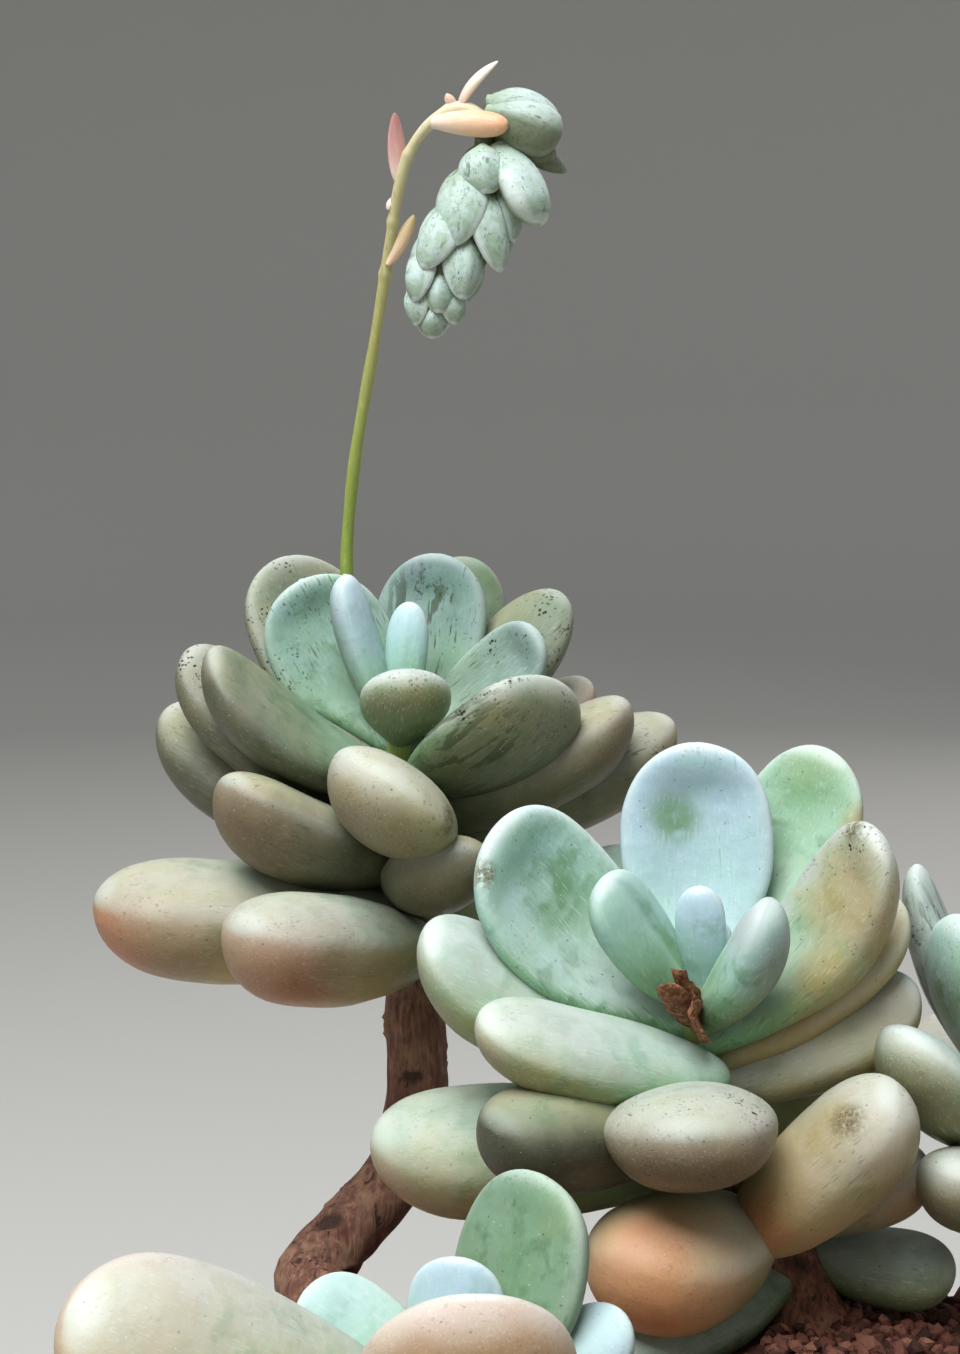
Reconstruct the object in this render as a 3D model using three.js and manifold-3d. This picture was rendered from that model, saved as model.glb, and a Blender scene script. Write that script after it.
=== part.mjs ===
// Potted moonstones: a plump-leaved succulent with four rosettes on woody stems, growing in a mound
// of red grit in a round clay bowl. The tallest rosette carries one thin flower stalk that nods over
// at the top under the weight of its buds.
//
// Units are millimetres and +Z is up. The origin is the centre of the bowl's flat underside, +Y runs
// from the front of the plant to its back, and +X to its right.
import * as THREE from "three";
import { mergeVertices } from "three/addons/utils/BufferGeometryUtils.js";
import Module from "manifold-3d";

const wasm = await Module();
wasm.setup();

// Driving dimensions of the bowl
const POT_RADIUS = 90;
const POT_HEIGHT = 80;
const POT_BASE_RADIUS = 64;
const POT_WALL = 7;
const POT_FLOOR = 7;
const RIM_BAND = 14;
const RIM_PROUD = 3.5;
const POT_SIDES = 30;
const DRAIN_HOLES = 3;
const DRAIN_RADIUS = 5;
const DRAIN_CIRCLE = 34;

// Driving dimensions of the grit that fills the bowl
const GRIT_EDGE = 75;
const GRIT_CROWN = 102;
const GRIT_STEPS = 4;

// Driving dimensions of the plant
const GAP = 0.3;
const SMOOTHED = 0.06;
const STEM_SIDES = 10;
const STALK_RADIUS = 1.2;
const STALK_SIDES = 7;
const LEAF_SIDES = 9;
const LEAF_RINGS = 6;
const SMALL_SIDES = 7;
const SMALL_RINGS = 5;
const WIDEST_AT = 0.62;
const THIN_NECK = 0.22;
const PLUMP_NECK = 0.5;
const TIP_ROUND = 2.2;
const UPPER_SHARE = 0.4;

const vec = (p) => new THREE.Vector3(...p);

// Solids: a closed geometry goes into manifold-3d to be joined or cut, and comes back as a geometry.
function toSolid(geometry) {
  const bare = geometry.index ? geometry.toNonIndexed() : geometry.clone();
  bare.deleteAttribute("normal");
  bare.deleteAttribute("uv");
  const merged = mergeVertices(bare, 1e-4);
  return new wasm.Manifold(
    new wasm.Mesh({
      numProp: 3,
      vertProperties: new Float32Array(merged.attributes.position.array),
      triVerts: new Uint32Array(merged.index.array),
    }),
  );
}

function toGeometry(solid) {
  const mesh = solid.getMesh();
  const geometry = new THREE.BufferGeometry();
  geometry.setAttribute("position", new THREE.BufferAttribute(mesh.vertProperties, 3));
  geometry.setIndex(new THREE.BufferAttribute(mesh.triVerts, 1));
  geometry.computeVertexNormals();
  return geometry;
}

const largestBody = (solid) =>
  solid.decompose().reduce((best, body) => (body.volume() > best.volume() ? body : best));

// A profile of [radius, height] points turned about the vertical axis.
function turned(profile, sides) {
  const points = profile.map(([r, z]) => new THREE.Vector2(r, z));
  return new THREE.LatheGeometry(points, sides).rotateX(Math.PI / 2);
}

// The clay bowl: a plain tapered wall with a rolled rim band and drain holes round a solid centre.
const wallFoot = POT_BASE_RADIUS;
const wallTop = POT_RADIUS - RIM_PROUD;
const bandFoot = POT_HEIGHT - RIM_BAND;
const innerFoot = wallFoot - POT_WALL;
const innerTop = wallTop - POT_WALL;

// Radius of the bowl's inner wall at a height.
const innerRadius = (z) =>
  innerFoot + ((innerTop - innerFoot) * (z - POT_FLOOR)) / (POT_HEIGHT - POT_FLOOR);

function bowl() {
  const profile = [
    [0, 0],
    [wallFoot - 2, 0],
    [wallFoot, 2],
    [wallTop - 1.5, bandFoot],
    [POT_RADIUS - 1, bandFoot + 1.5],
    [POT_RADIUS, bandFoot + 4],
    [POT_RADIUS, POT_HEIGHT - 3],
    [POT_RADIUS - 2, POT_HEIGHT],
    [innerTop + 2, POT_HEIGHT],
    [innerTop, POT_HEIGHT - 2],
    [innerFoot + 1, POT_FLOOR + 2],
    [innerFoot - 2, POT_FLOOR],
    [0, POT_FLOOR],
  ];
  let solid = toSolid(turned(profile, POT_SIDES));
  for (let i = 0; i < DRAIN_HOLES; i++) {
    const angle = (2 * Math.PI * i) / DRAIN_HOLES + Math.PI / 2;
    const hole = new THREE.CylinderGeometry(DRAIN_RADIUS, DRAIN_RADIUS, 4 * POT_FLOOR, 12)
      .rotateX(Math.PI / 2)
      .translate(DRAIN_CIRCLE * Math.cos(angle), DRAIN_CIRCLE * Math.sin(angle), 0);
    solid = solid.subtract(toSolid(hole));
  }
  return solid;
}

// The grit: it fills the bowl to just under the rim and rises to a low mound at the middle.
const gritTop = (r) => GRIT_CROWN - (GRIT_CROWN - GRIT_EDGE) * (r / innerRadius(GRIT_EDGE)) ** 2;

function grit() {
  const edge = innerRadius(GRIT_EDGE) - GAP;
  const profile = [
    [0, POT_FLOOR + GAP],
    [innerFoot - 3, POT_FLOOR + GAP],
    [innerRadius(POT_FLOOR + 4) - GAP, POT_FLOOR + 4],
    [edge, gritTop(edge)],
  ];
  for (let i = GRIT_STEPS - 1; i >= 0; i--) {
    const r = (edge * i) / GRIT_STEPS;
    profile.push([r, gritTop(r)]);
  }
  return toSolid(turned(profile, POT_SIDES));
}

// Stems: a route from the buried foot up to the growing tip, and radii spread evenly along it.
const stems = {
  tall: {
    route: [
      [-52, 6, 62], [-56, 9, 78], [-64, 16, 92], [-73, 25, 100], [-76, 31, 104],
      [-69, 36, 111], [-60.5, 40, 122], [-58, 42, 134], [-58.5, 43, 150],
      [-59.5, 43, 162], [-60.5, 43, 179], [-60.8, 42, 199],
    ],
    radii: [6.3, 6.1, 5.4, 2.4],
  },
  centre: {
    route: [
      [13, 18, 62], [11, 17, 80], [8, 16, 96], [4, 18, 109], [-5, 19, 122],
      [-11.5, 17, 137], [-12, 13, 149], [-11.2, 9, 159],
    ],
    radii: [6.6, 6, 5, 2.2],
  },
  side: {
    route: [[36, 36, 62], [38, 35, 84], [42, 33, 100], [45, 30, 122], [43.8, 26, 142.7]],
    radii: [6, 5.6, 5, 2.2],
  },
  front: {
    route: [[-43, -43, 62], [-45, -46, 80], [-49, -52, 99], [-51.8, -58, 117.5]],
    radii: [6, 5.6, 5, 2.4],
  },
};

// A tube along a curve whose radius changes on the way: a section of unit radius is extruded along
// the curve, and each ring it lays down is then widened about its own centre.
function taperedTube(curve, steps, sides, radiusAt) {
  const rim = Array.from({ length: sides }, (_, i) => {
    const angle = (2 * Math.PI * i) / sides;
    return new THREE.Vector2(Math.cos(angle), Math.sin(angle));
  });
  const section = new THREE.Shape(rim);
  const tube = new THREE.ExtrudeGeometry(section, { steps, extrudePath: curve, bevelEnabled: false });
  const centres = Array.from({ length: steps + 1 }, (_, i) => curve.getPointAt(i / steps));
  const position = tube.getAttribute("position");
  const point = new THREE.Vector3();
  for (let i = 0; i < position.count; i++) {
    point.fromBufferAttribute(position, i);
    const distances = centres.map((centre) => point.distanceToSquared(centre));
    const ring = distances.indexOf(Math.min(...distances));
    point.sub(centres[ring]).multiplyScalar(radiusAt(ring / steps)).add(centres[ring]);
    position.setXYZ(i, point.x, point.y, point.z);
  }
  return tube;
}

// Radius at a share of a stem's length, from its few stated radii.
function along(radii, t) {
  const place = Math.min(t, 0.9999) * (radii.length - 1);
  const i = Math.floor(place);
  return THREE.MathUtils.lerp(radii[i], radii[i + 1], place - i);
}

function stemSolid(stem, grow = 0) {
  const steps = 2 * (stem.route.length - 1);
  return toSolid(taperedTube(stem.curve, steps, STEM_SIDES, (t) => along(stem.radii, t) + grow));
}

for (const stem of Object.values(stems)) {
  stem.crown = vec(stem.route[stem.route.length - 1]);
  stem.curve = new THREE.CatmullRomCurve3(stem.route.map(vec), false, "centripetal");
}

// The point on a stem's middle line at a height, looking down from its tip.
function onStem(stem, z) {
  const places = stem.curve.getSpacedPoints(200).reverse();
  return places.find((p) => p.z <= z) ?? places[places.length - 1];
}

// A leaf's outline: half its width at a share of its length, as a share of the widest.
function outline(s, neck) {
  if (s > WIDEST_AT) {
    const q = (s - WIDEST_AT) / (1 - WIDEST_AT);
    return Math.sqrt(Math.max(0, 1 - q ** TIP_ROUND));
  }
  const q = (WIDEST_AT - s) / WIDEST_AT;
  return neck + (1 - neck) * Math.cos((Math.PI / 2) * q) ** 1.15;
}

// An egg-shaped leaf from its base to its tip. Its upper face turns towards the rosette's own up
// direction, rolled about the leaf by some degrees, and the tip curls up by a bow in millimetres.
// The thicker the leaf for its width, the fuller it is at its base.
function leafSolid(leaf, grow = 0) {
  const { base, tip, up, width, thick, bow = 0, roll = 0 } = leaf;
  const axis = tip.clone().sub(base);
  const length = axis.length();
  axis.normalize();
  const upper = up.clone().addScaledVector(axis, -up.dot(axis)).normalize();
  upper.applyAxisAngle(axis, THREE.MathUtils.degToRad(roll));
  const across = new THREE.Vector3().crossVectors(axis, upper);
  const neck = THREE.MathUtils.mapLinear(thick / width, 0.4, 0.8, THIN_NECK, PLUMP_NECK);
  const small = width < 8;
  const sides = small ? SMALL_SIDES : LEAF_SIDES;
  const skin = new THREE.SphereGeometry(1, sides, small ? SMALL_RINGS : LEAF_RINGS);
  const position = skin.getAttribute("position");
  const reach = 1 + grow / length;
  for (let i = 0; i < position.count; i++) {
    const s = (1 - position.getY(i)) / 2;
    const ring = Math.hypot(position.getX(i), position.getZ(i)) || 1;
    const side = position.getX(i) / ring;
    const rise = -position.getZ(i) / ring;
    const pole = s < 1e-6 || s > 1 - 1e-6;
    const halfWidth = pole ? 0 : (width / 2) * outline(s, neck) + grow;
    const depth = thick * (rise > 0 ? UPPER_SHARE : 1 - UPPER_SHARE);
    const halfDepth = pole ? 0 : depth * outline(s, PLUMP_NECK) + grow;
    const point = base
      .clone()
      .addScaledVector(axis, length * s * reach)
      .addScaledVector(upper, halfDepth * rise - bow * 4 * s * (1 - s))
      .addScaledVector(across, halfWidth * side);
    position.setXYZ(i, point.x, point.y, point.z);
  }
  return toSolid(skin);
}

// The leaves of each rosette. A row gives how far below the growing tip the leaf leaves the stem,
// how far it starts aside of the stem's middle line, its tip measured from the growing tip, its
// width and thickness, its bow and its roll. Within a rosette a leaf gives way to those above it.
const up = {
  tall: vec([0, -0.12, 1]).normalize(),
  centre: vec([-0.12, -0.5, 1]).normalize(),
  side: vec([0.1, -0.2, 1]).normalize(),
  front: vec([0, 0, 1]),
};
const leaves = {
  tall: [
    { below: 12, tip: [-19.5, 24, 26], width: 22, thick: 9, bow: 2.5 },
    { below: 7, tip: [-17.5, 9, 23.5], width: 20, thick: 7, bow: 3 },
    { below: 4, tip: [-9.5, 1, 24.5], width: 9, thick: 7, bow: 1 },
    { below: 7, tip: [6.1, 15, 27.7], width: 21, thick: 8, bow: 3 },
    { below: 13, tip: [11, 28, 26.5], width: 21, thick: 9, bow: 3 },
    { below: 6, tip: [1.5, -14, 9.5], width: 15.5, thick: 8.5, bow: 2 },
    { below: 10, tip: [28, 12, 21], width: 18, thick: 9, bow: 2, roll: 20 },
    { below: 6, tip: [24, -2, 14.8], width: 16, thick: 7, bow: 2, roll: 15 },
    { below: 13, tip: [26.5, -17, 7.5], width: 24, thick: 12, bow: 3, roll: 12 },
    { below: 12, tip: [-32, -12, 11.5], width: 24, thick: 11, bow: 3, roll: -20 },
    { below: 16, tip: [-37.5, 4, 11], width: 23, thick: 12, bow: 3, roll: -15 },
    { below: 25, tip: [-42, 13, 0], width: 23, thick: 14, bow: 3, roll: -15 },
    { below: 25, tip: [-28.4, -20, -9.5], width: 20, thick: 15, bow: 2 },
    { below: 17, tip: [-0.5, -34, -8], width: 24, thick: 15, roll: -35 },
    { below: 35, tip: [-51.5, -12, -31], width: 24, thick: 20 },
    { below: 39, aside: [3, -3, 0], tip: [-25.4, -32, -32.5], width: 22, thick: 18 },
    { below: 18, tip: [39.5, -4, 2.5], width: 21, thick: 14, bow: 2 },
    { below: 22, tip: [48, 12, -2], width: 21, thick: 15, bow: 2 },
    { below: 30, tip: [10, -26, -20], width: 17, thick: 13 },
  ],
  centre: [
    { below: 8, tip: [-0.4, 13, 38], width: 25, thick: 9, bow: 3 },
    { below: 9, tip: [-33.5, -1, 26], width: 28, thick: 10, bow: 3, roll: -15 },
    { below: 7, tip: [21.4, 17, 36.7], width: 24, thick: 10, bow: 4 },
    { below: 10, tip: [27.5, -5, 26], width: 22, thick: 13, bow: 5, roll: 8 },
    { below: 4, tip: [-15.4, -6, 18.6], width: 12, thick: 7, bow: 1 },
    { below: 7, tip: [9, -14, 15.5], width: 14, thick: 9, bow: 2 },
    { below: 14, tip: [-45, -7, 9.5], width: 23, thick: 14, bow: 4, roll: -8 },
    { below: 14.5, aside: [5, -7, 0], tip: [-36, -18, -2.5], width: 19, thick: 13, bow: 1 },
    { below: 29, aside: [0, 3, 0], tip: [-53.5, 1, -26.5], width: 24, thick: 21 },
    { below: 23, aside: [1, -3, 0], tip: [-34.5, -25, -18], width: 20, thick: 17 },
    { below: 21, tip: [-5, -34, -17], width: 27, thick: 16 },
    { below: 42, tip: [30, -14, -14], width: 21, thick: 17 },
    { below: 41, tip: [-13, -27, -39], width: 26, thick: 21 },
    { below: 18, tip: [36.2, 9, -2], width: 20, thick: 13, bow: 2 },
    { below: 15, tip: [33.5, 11, 12], width: 20, thick: 10, bow: 2 },
    { below: 42, aside: [4, 3, 0], tip: [38, 6, -31], width: 15, thick: 12 },
    { below: 48, tip: [43, 5, -48.5], width: 18, thick: 14 },
    { below: 50, tip: [-16, -20, -54.5], width: 18, thick: 12 },
  ],
  side: [
    { below: 10, tip: [-18, 1, 33], width: 12, thick: 8, bow: 2 },
    { below: 6, tip: [-9, -12, 26], width: 21, thick: 9, bow: 3 },
    { below: 14, tip: [-24, -24, 8], width: 20, thick: 13, bow: 2 },
    { below: 24, tip: [-17, -30, -12], width: 18, thick: 14 },
    { below: 12, tip: [33, -14, 12], width: 21, thick: 11, bow: 3 },
    { below: 22, tip: [38, 12, -6], width: 21, thick: 14, bow: 2 },
    { below: 9, tip: [13, 22, 26], width: 20, thick: 9, bow: 3 },
    { below: 18, tip: [12, -34, 2], width: 21, thick: 14, bow: 2 },
  ],
  front: [
    { below: 9, tip: [-50, -18, 16], width: 27, thick: 19, roll: -60 },
    { below: 9, tip: [4, -25, 20], width: 29, thick: 13, bow: 3 },
    { below: 4, aside: [0, 3, 0], tip: [-20, 11, 9.5], width: 15, thick: 7, bow: 2, roll: -50 },
    { below: 3, tip: [1.6, 6, 16.1], width: 14, thick: 6, bow: 2 },
    { below: 6, tip: [25.5, 4, 7.8], width: 14, thick: 9, bow: 2, roll: 40 },
    { below: 8, tip: [12.5, 13, 26.2], width: 23, thick: 9, bow: 3 },
    { below: 14, tip: [27, -20, -2], width: 22, thick: 15, bow: 2 },
  ],
};

// The flower stalk rises behind the tall rosette's inner leaves, arches over and ends in its truss.
const stalkRoute = [
  [-62, 47, 188], [-66, 52, 199], [-69.5, 57, 211], [-70.7, 58, 223], [-70.2, 57, 233],
  [-68.7, 54, 245], [-65.5, 49, 262], [-63.1, 45, 275.5], [-60.8, 41, 288.6], [-58.7, 39, 295],
  [-55, 37, 299.5], [-50, 36, 301.6], [-46.2, 35.5, 299.5],
];
const STALK_STEPS = 24;
const stalkCurve = new THREE.CatmullRomCurve3(stalkRoute.map(vec), false, "centripetal");
const bracts = [
  { base: [-60.5, 40.5, 289.5], tip: [-62, 38, 299], width: 3.4, thick: 1.8, bow: 0.6 },
  { base: [-62.4, 44, 277], tip: [-58.5, 42, 284], width: 3.2, thick: 1.8, bow: 0.4 },
  { base: [-50, 36, 301.8], tip: [-44.5, 35, 309.5], width: 2.6, thick: 1.8, bow: 1 },
  { base: [-54.5, 36, 299], tip: [-42.8, 33, 298.5], width: 5, thick: 3, bow: -1.4 },
];
const budLobes = [
  { base: [-46.5, 35, 298.5], tip: [-56, 31, 263], width: 15, thick: 15 },
  { base: [-45, 35, 298], tip: [-36.5, 33, 283], width: 12, thick: 10 },
  { base: [-46, 35.5, 300], tip: [-34, 35, 300], width: 12, thick: 10 },
];

// Pieces are placed in order: one placed first keeps its shape, and one that comes later is cut back
// from it by the gap. Each is given with its own shape and with that shape grown by the gap.
const placed = [];
const parts = new Map();

function place(name, solid, grown, colour) {
  const reach = grown.boundingBox();
  let kept = solid;
  for (const other of placed) {
    const box = other.boundingBox();
    const apart = [0, 1, 2].some((k) => box.min[k] > reach.max[k] || box.max[k] < reach.min[k]);
    if (!apart) kept = kept.subtract(other);
  }
  placed.push(grown);
  parts.set(name, { solid: largestBody(kept).simplify(SMOOTHED), colour });
}

const clay = { color: 0xb5694a, roughness: 0.85, metalness: 0 };
const redGrit = { color: 0x7a3b28, roughness: 0.95, metalness: 0 };
const bark = { color: 0x5f4234, roughness: 0.9, metalness: 0 };
const stalkGreen = { color: 0x8d9a4e, roughness: 0.6, metalness: 0 };
const budGreen = { color: 0xa9bfa9, roughness: 0.7, metalness: 0 };
const leafColours = {
  tall: { color: 0x95a593, roughness: 0.65, metalness: 0 },
  centre: { color: 0xa3c4b1, roughness: 0.65, metalness: 0 },
  side: { color: 0x9cb8a4, roughness: 0.65, metalness: 0 },
  front: { color: 0xb9b597, roughness: 0.65, metalness: 0 },
};

for (const [name, stem] of Object.entries(stems)) {
  place(`${name}_stem`, stemSolid(stem), stemSolid(stem, GAP), bark);
}
place("grit", grit(), grit().translate(0, 0, GAP), redGrit);

// Small leaf-shaped lobes joined into one solid.
const lobes = (rows, grow = 0) =>
  rows
    .map((row) => leafSolid({ ...row, base: vec(row.base), tip: vec(row.tip), up: up.tall }, grow))
    .reduce((sum, solid) => sum.add(solid));

function stalkSolid(grow = 0) {
  const tube = taperedTube(stalkCurve, STALK_STEPS, STALK_SIDES, () => STALK_RADIUS + grow);
  return toSolid(tube).add(lobes(bracts, grow));
}

place("flower_stalk", stalkSolid(), stalkSolid(GAP), stalkGreen);
place("bud_truss", lobes(budLobes), lobes(budLobes, GAP), budGreen);

for (const [name, rows] of Object.entries(leaves)) {
  rows.forEach((row, i) => {
    const { crown } = stems[name];
    const start = onStem(stems[name], crown.z - row.below);
    const base = row.aside ? start.add(vec(row.aside)) : start;
    const leaf = { ...row, base, tip: vec(row.tip).add(crown), up: up[name] };
    const node = `${name}_leaf_${String(i + 1).padStart(2, "0")}`;
    place(node, leafSolid(leaf), leafSolid(leaf, GAP), leafColours[name]);
  });
}

parts.set("pot", { solid: bowl(), colour: clay });

const group = new THREE.Group();
for (const [name, { solid, colour }] of parts) {
  const mesh = new THREE.Mesh(toGeometry(solid), new THREE.MeshStandardMaterial(colour));
  mesh.name = name;
  group.add(mesh);
}

export default group;
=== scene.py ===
# %% [markdown]
# # Potted moonstones
# The object is a plump-leaved succulent in a round clay bowl. Four rosettes stand on woody stems
# in a mound of red grit, and the tallest one carries a thin flower stalk that nods over.
#
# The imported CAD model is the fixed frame: it says where every leaf, stem and grain of grit may be.
# It is loaded first and never changed. Pieces made below stand in for its nodes, and a few more,
# such as the bracts and the loose grains, are too small for it to hold.

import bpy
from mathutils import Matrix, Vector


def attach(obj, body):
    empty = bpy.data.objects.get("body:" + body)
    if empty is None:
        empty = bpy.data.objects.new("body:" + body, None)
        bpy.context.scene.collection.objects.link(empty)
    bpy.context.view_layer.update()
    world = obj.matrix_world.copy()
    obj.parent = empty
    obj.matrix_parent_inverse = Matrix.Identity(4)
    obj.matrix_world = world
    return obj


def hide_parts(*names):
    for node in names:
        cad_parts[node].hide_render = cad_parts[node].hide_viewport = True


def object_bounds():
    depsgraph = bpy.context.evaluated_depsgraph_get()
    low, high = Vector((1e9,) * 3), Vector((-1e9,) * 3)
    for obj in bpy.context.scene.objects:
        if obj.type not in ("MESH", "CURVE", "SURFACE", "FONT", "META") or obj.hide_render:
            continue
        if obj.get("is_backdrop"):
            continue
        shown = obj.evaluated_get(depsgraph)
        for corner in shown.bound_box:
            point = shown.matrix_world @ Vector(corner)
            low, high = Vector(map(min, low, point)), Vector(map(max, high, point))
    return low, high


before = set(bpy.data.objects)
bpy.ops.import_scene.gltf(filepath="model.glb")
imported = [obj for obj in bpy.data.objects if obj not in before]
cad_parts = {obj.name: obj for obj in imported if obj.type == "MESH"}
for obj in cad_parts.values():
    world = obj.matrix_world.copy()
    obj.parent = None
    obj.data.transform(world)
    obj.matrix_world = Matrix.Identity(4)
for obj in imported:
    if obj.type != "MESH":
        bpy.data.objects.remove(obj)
packed_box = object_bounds()
print("packed nodes:", len(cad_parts))

# %% Tools and the unit of length
import math

import bmesh
import bpy
import numpy as np
from mathutils import Matrix, Vector, noise
from mathutils.bvhtree import BVHTree

MM = 0.001
rng = np.random.default_rng(11)

# %% [markdown]
# ## The camera
# The picture was taken from a little above the middle of the plant, looking slightly down. A long
# lens keeps the rosettes in proportion, and it is set for a picture frame of 960 by 1354.

# %% Camera
PICTURE_HEIGHT = 1354
FOCAL_PIXELS = 2600
SENSOR = 36
CAMERA_PLACE = (-0.047, -0.404, 0.245)
LOOKING_DOWN = 5

camera = bpy.data.objects.new("camera", bpy.data.cameras.new("camera"))
camera.location = CAMERA_PLACE
camera.rotation_euler = (math.radians(90 - LOOKING_DOWN), 0, 0)
camera.data.sensor_width = SENSOR
camera.data.lens = SENSOR * FOCAL_PIXELS / PICTURE_HEIGHT
bpy.context.collection.objects.link(camera)
bpy.context.scene.camera = camera
print(f"lens {camera.data.lens:.1f} mm")

# %% [markdown]
# ## Routes and rings
# Stems, the flower stalk and the truss all follow a bent line. A few points are enough to give
# the line, and a smooth curve through them gives evenly spaced places for the rings of a skin.
# The rings must not twist on the way, so each one turns its side direction only as far as the
# line itself turns.

# %% Smooth routes
STEPS_PER_POINT = 24


def smooth_route(points, count):
    """Evenly spaced places on a smooth curve through a few points."""
    p = np.array(points, float)
    p = np.vstack([2 * p[0] - p[1], p, 2 * p[-1] - p[-2]])
    dense = []
    for a, b, c, d in zip(p, p[1:], p[2:], p[3:]):
        t0 = 0.0
        t1 = t0 + np.linalg.norm(b - a) ** 0.5
        t2 = t1 + np.linalg.norm(c - b) ** 0.5
        t3 = t2 + np.linalg.norm(d - c) ** 0.5
        t = np.linspace(t1, t2, STEPS_PER_POINT, endpoint=False)[:, None]
        ab = a + (b - a) * (t - t0) / (t1 - t0)
        bc = b + (c - b) * (t - t1) / (t2 - t1)
        cd = c + (d - c) * (t - t2) / (t3 - t2)
        abc = ab + (bc - ab) * (t - t0) / (t2 - t0)
        bcd = bc + (cd - bc) * (t - t1) / (t3 - t1)
        dense.append(abc + (bcd - abc) * (t - t1) / (t2 - t1))
    dense = np.vstack(dense + [p[-2:-1]])
    reach = np.append(0, np.cumsum(np.linalg.norm(np.diff(dense, axis=0), axis=1)))
    even = np.linspace(0, reach[-1], count)
    return np.column_stack([np.interp(even, reach, dense[:, i]) for i in range(3)])


def ring_directions(route):
    """For each place on a route, the way it runs and two directions square to it."""
    run = np.gradient(route, axis=0)
    run /= np.linalg.norm(run, axis=1)[:, None]
    side = np.cross(run[0], (0.0, 1.0, 0.0))
    sides = []
    for way in run:
        side = side - way * (side @ way)
        side = side / np.linalg.norm(side)
        sides.append(side)
    sides = np.array(sides)
    return run, sides, np.cross(run, sides)


# %% Closed skins
def smooth_step(low, high, value):
    """0 below low, 1 above high, and an even rise between them."""
    t = np.clip((value - low) / (high - low), 0, 1)
    return t * t * (3 - 2 * t)


def skin_faces(rings, sides):
    """Faces of a closed skin: a point, rings one after the other, and a point."""
    ring = lambda i, j: 1 + i * sides + j % sides
    last = 1 + rings * sides
    faces = [(0, ring(0, j + 1), ring(0, j)) for j in range(sides)]
    for i in range(rings - 1):
        for j in range(sides):
            faces.append((ring(i, j), ring(i, j + 1), ring(i + 1, j + 1), ring(i + 1, j)))
    faces += [(last, ring(rings - 1, j), ring(rings - 1, j + 1)) for j in range(sides)]
    return faces


def tube_skin(route, radius):
    """A closed tube: radius gives the distance of every point of every ring from the line."""
    run, side, other = ring_directions(route)
    rings, sides = radius.shape
    turn = 2 * np.pi * np.arange(sides) / sides
    around = np.cos(turn)[None, :, None] * side[:, None] + np.sin(turn)[None, :, None] * other[:, None]
    points = route[:, None] + around * radius[:, :, None]
    points = np.vstack([route[:1], points.reshape(-1, 3), route[-1:]])
    return points, skin_faces(rings, sides)


def make_piece(name, points, faces, finish, stands_for=(), marks=None, flat=False):
    """A mesh object from points in millimetres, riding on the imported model's one body."""
    mesh = bpy.data.meshes.new(name)
    mesh.from_pydata((np.asarray(points) * MM).tolist(), [], faces)
    work = bmesh.new()
    work.from_mesh(mesh)
    bmesh.ops.recalc_face_normals(work, faces=work.faces)
    work.to_mesh(mesh)
    work.free()
    if flat:
        mesh.shade_flat()
    else:
        mesh.shade_smooth()
    for word, values in (marks or {}).items():
        kind, field = ("FLOAT_VECTOR", "vector") if np.ndim(values) == 2 else ("FLOAT", "value")
        layer = mesh.attributes.new(word, kind, "POINT")
        layer.data.foreach_set(field, np.ravel(values).astype(np.float32))
    mesh.materials.append(finish)
    piece = bpy.data.objects.new(name, mesh)
    bpy.context.collection.objects.link(piece)
    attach(piece, "root")
    if stands_for:
        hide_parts(*stands_for)
    return piece


# %% [markdown]
# ## Writing a finish
# A finish is a small network of nodes. It reads better as sums, so a wire out of a node behaves
# like a number: adding two wires adds a Math node. Colours and vectors have nodes of their own,
# because a Math node would turn them grey. The class attribute `tree` is the finish being written.

# %% Wires and nodes
class Wire:
    """An output of a node, which can be used in sums."""

    tree = None

    def __init__(self, socket):
        self.socket = socket

    @classmethod
    def node(cls, kind, settings=None, values=None, output=0):
        """Adds a node, sets its settings, then fills its sockets with numbers or wires."""
        made = cls.tree.nodes.new(kind)
        for setting, value in (settings or {}).items():
            if setting == "stops":
                while len(made.color_ramp.elements) < len(value):
                    made.color_ramp.elements.new(1)
                for stop, (place, colour) in zip(made.color_ramp.elements, value):
                    stop.position = place
                    stop.color = colour
            else:
                setattr(made, setting, value)
        for key, value in (values or {}).items():
            if isinstance(value, Wire):
                cls.tree.links.new(value.socket, made.inputs[key])
            else:
                made.inputs[key].default_value = value
        return cls(made.outputs[output])

    @classmethod
    def maths(cls, operation, *values):
        return cls.node("ShaderNodeMath", {"operation": operation}, dict(enumerate(values)))

    def __add__(self, other):
        return self.maths("ADD", self, other)

    def __sub__(self, other):
        return self.maths("SUBTRACT", self, other)

    def __rsub__(self, other):
        return self.maths("SUBTRACT", other, self)

    def __mul__(self, other):
        return self.maths("MULTIPLY", self, other)

    def __truediv__(self, other):
        return self.maths("DIVIDE", self, other)

    __radd__ = __add__
    __rmul__ = __mul__


# %% Words for finishes
def colour(code):
    """A linear colour from the usual six-figure code."""
    parts = [int(code[i : i + 2], 16) / 255 for i in (0, 2, 4)]
    return (*[c / 12.92 if c <= 0.04045 else ((c + 0.055) / 1.055) ** 2.4 for c in parts], 1.0)


def begin(name):
    """Starts a finish: a new material, whose network the next wires go into."""
    material = bpy.data.materials.new(name)
    material.use_nodes = True
    Wire.tree = material.node_tree
    return material


def mark(name, output=2):
    """A value that was written on the mesh, point by point."""
    return Wire.node("ShaderNodeAttribute", {"attribute_name": name}, output=output)


def step(value, low, high):
    """A soft step from 0 at low to 1 at high."""
    values = {"Value": value, "From Min": low, "From Max": high}
    return Wire.node("ShaderNodeMapRange", {"interpolation_type": "SMOOTHSTEP"}, values)


def fall(value, low, high):
    """A soft step down, from 1 at low to 0 at high."""
    return 1 - step(value, low, high)


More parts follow.
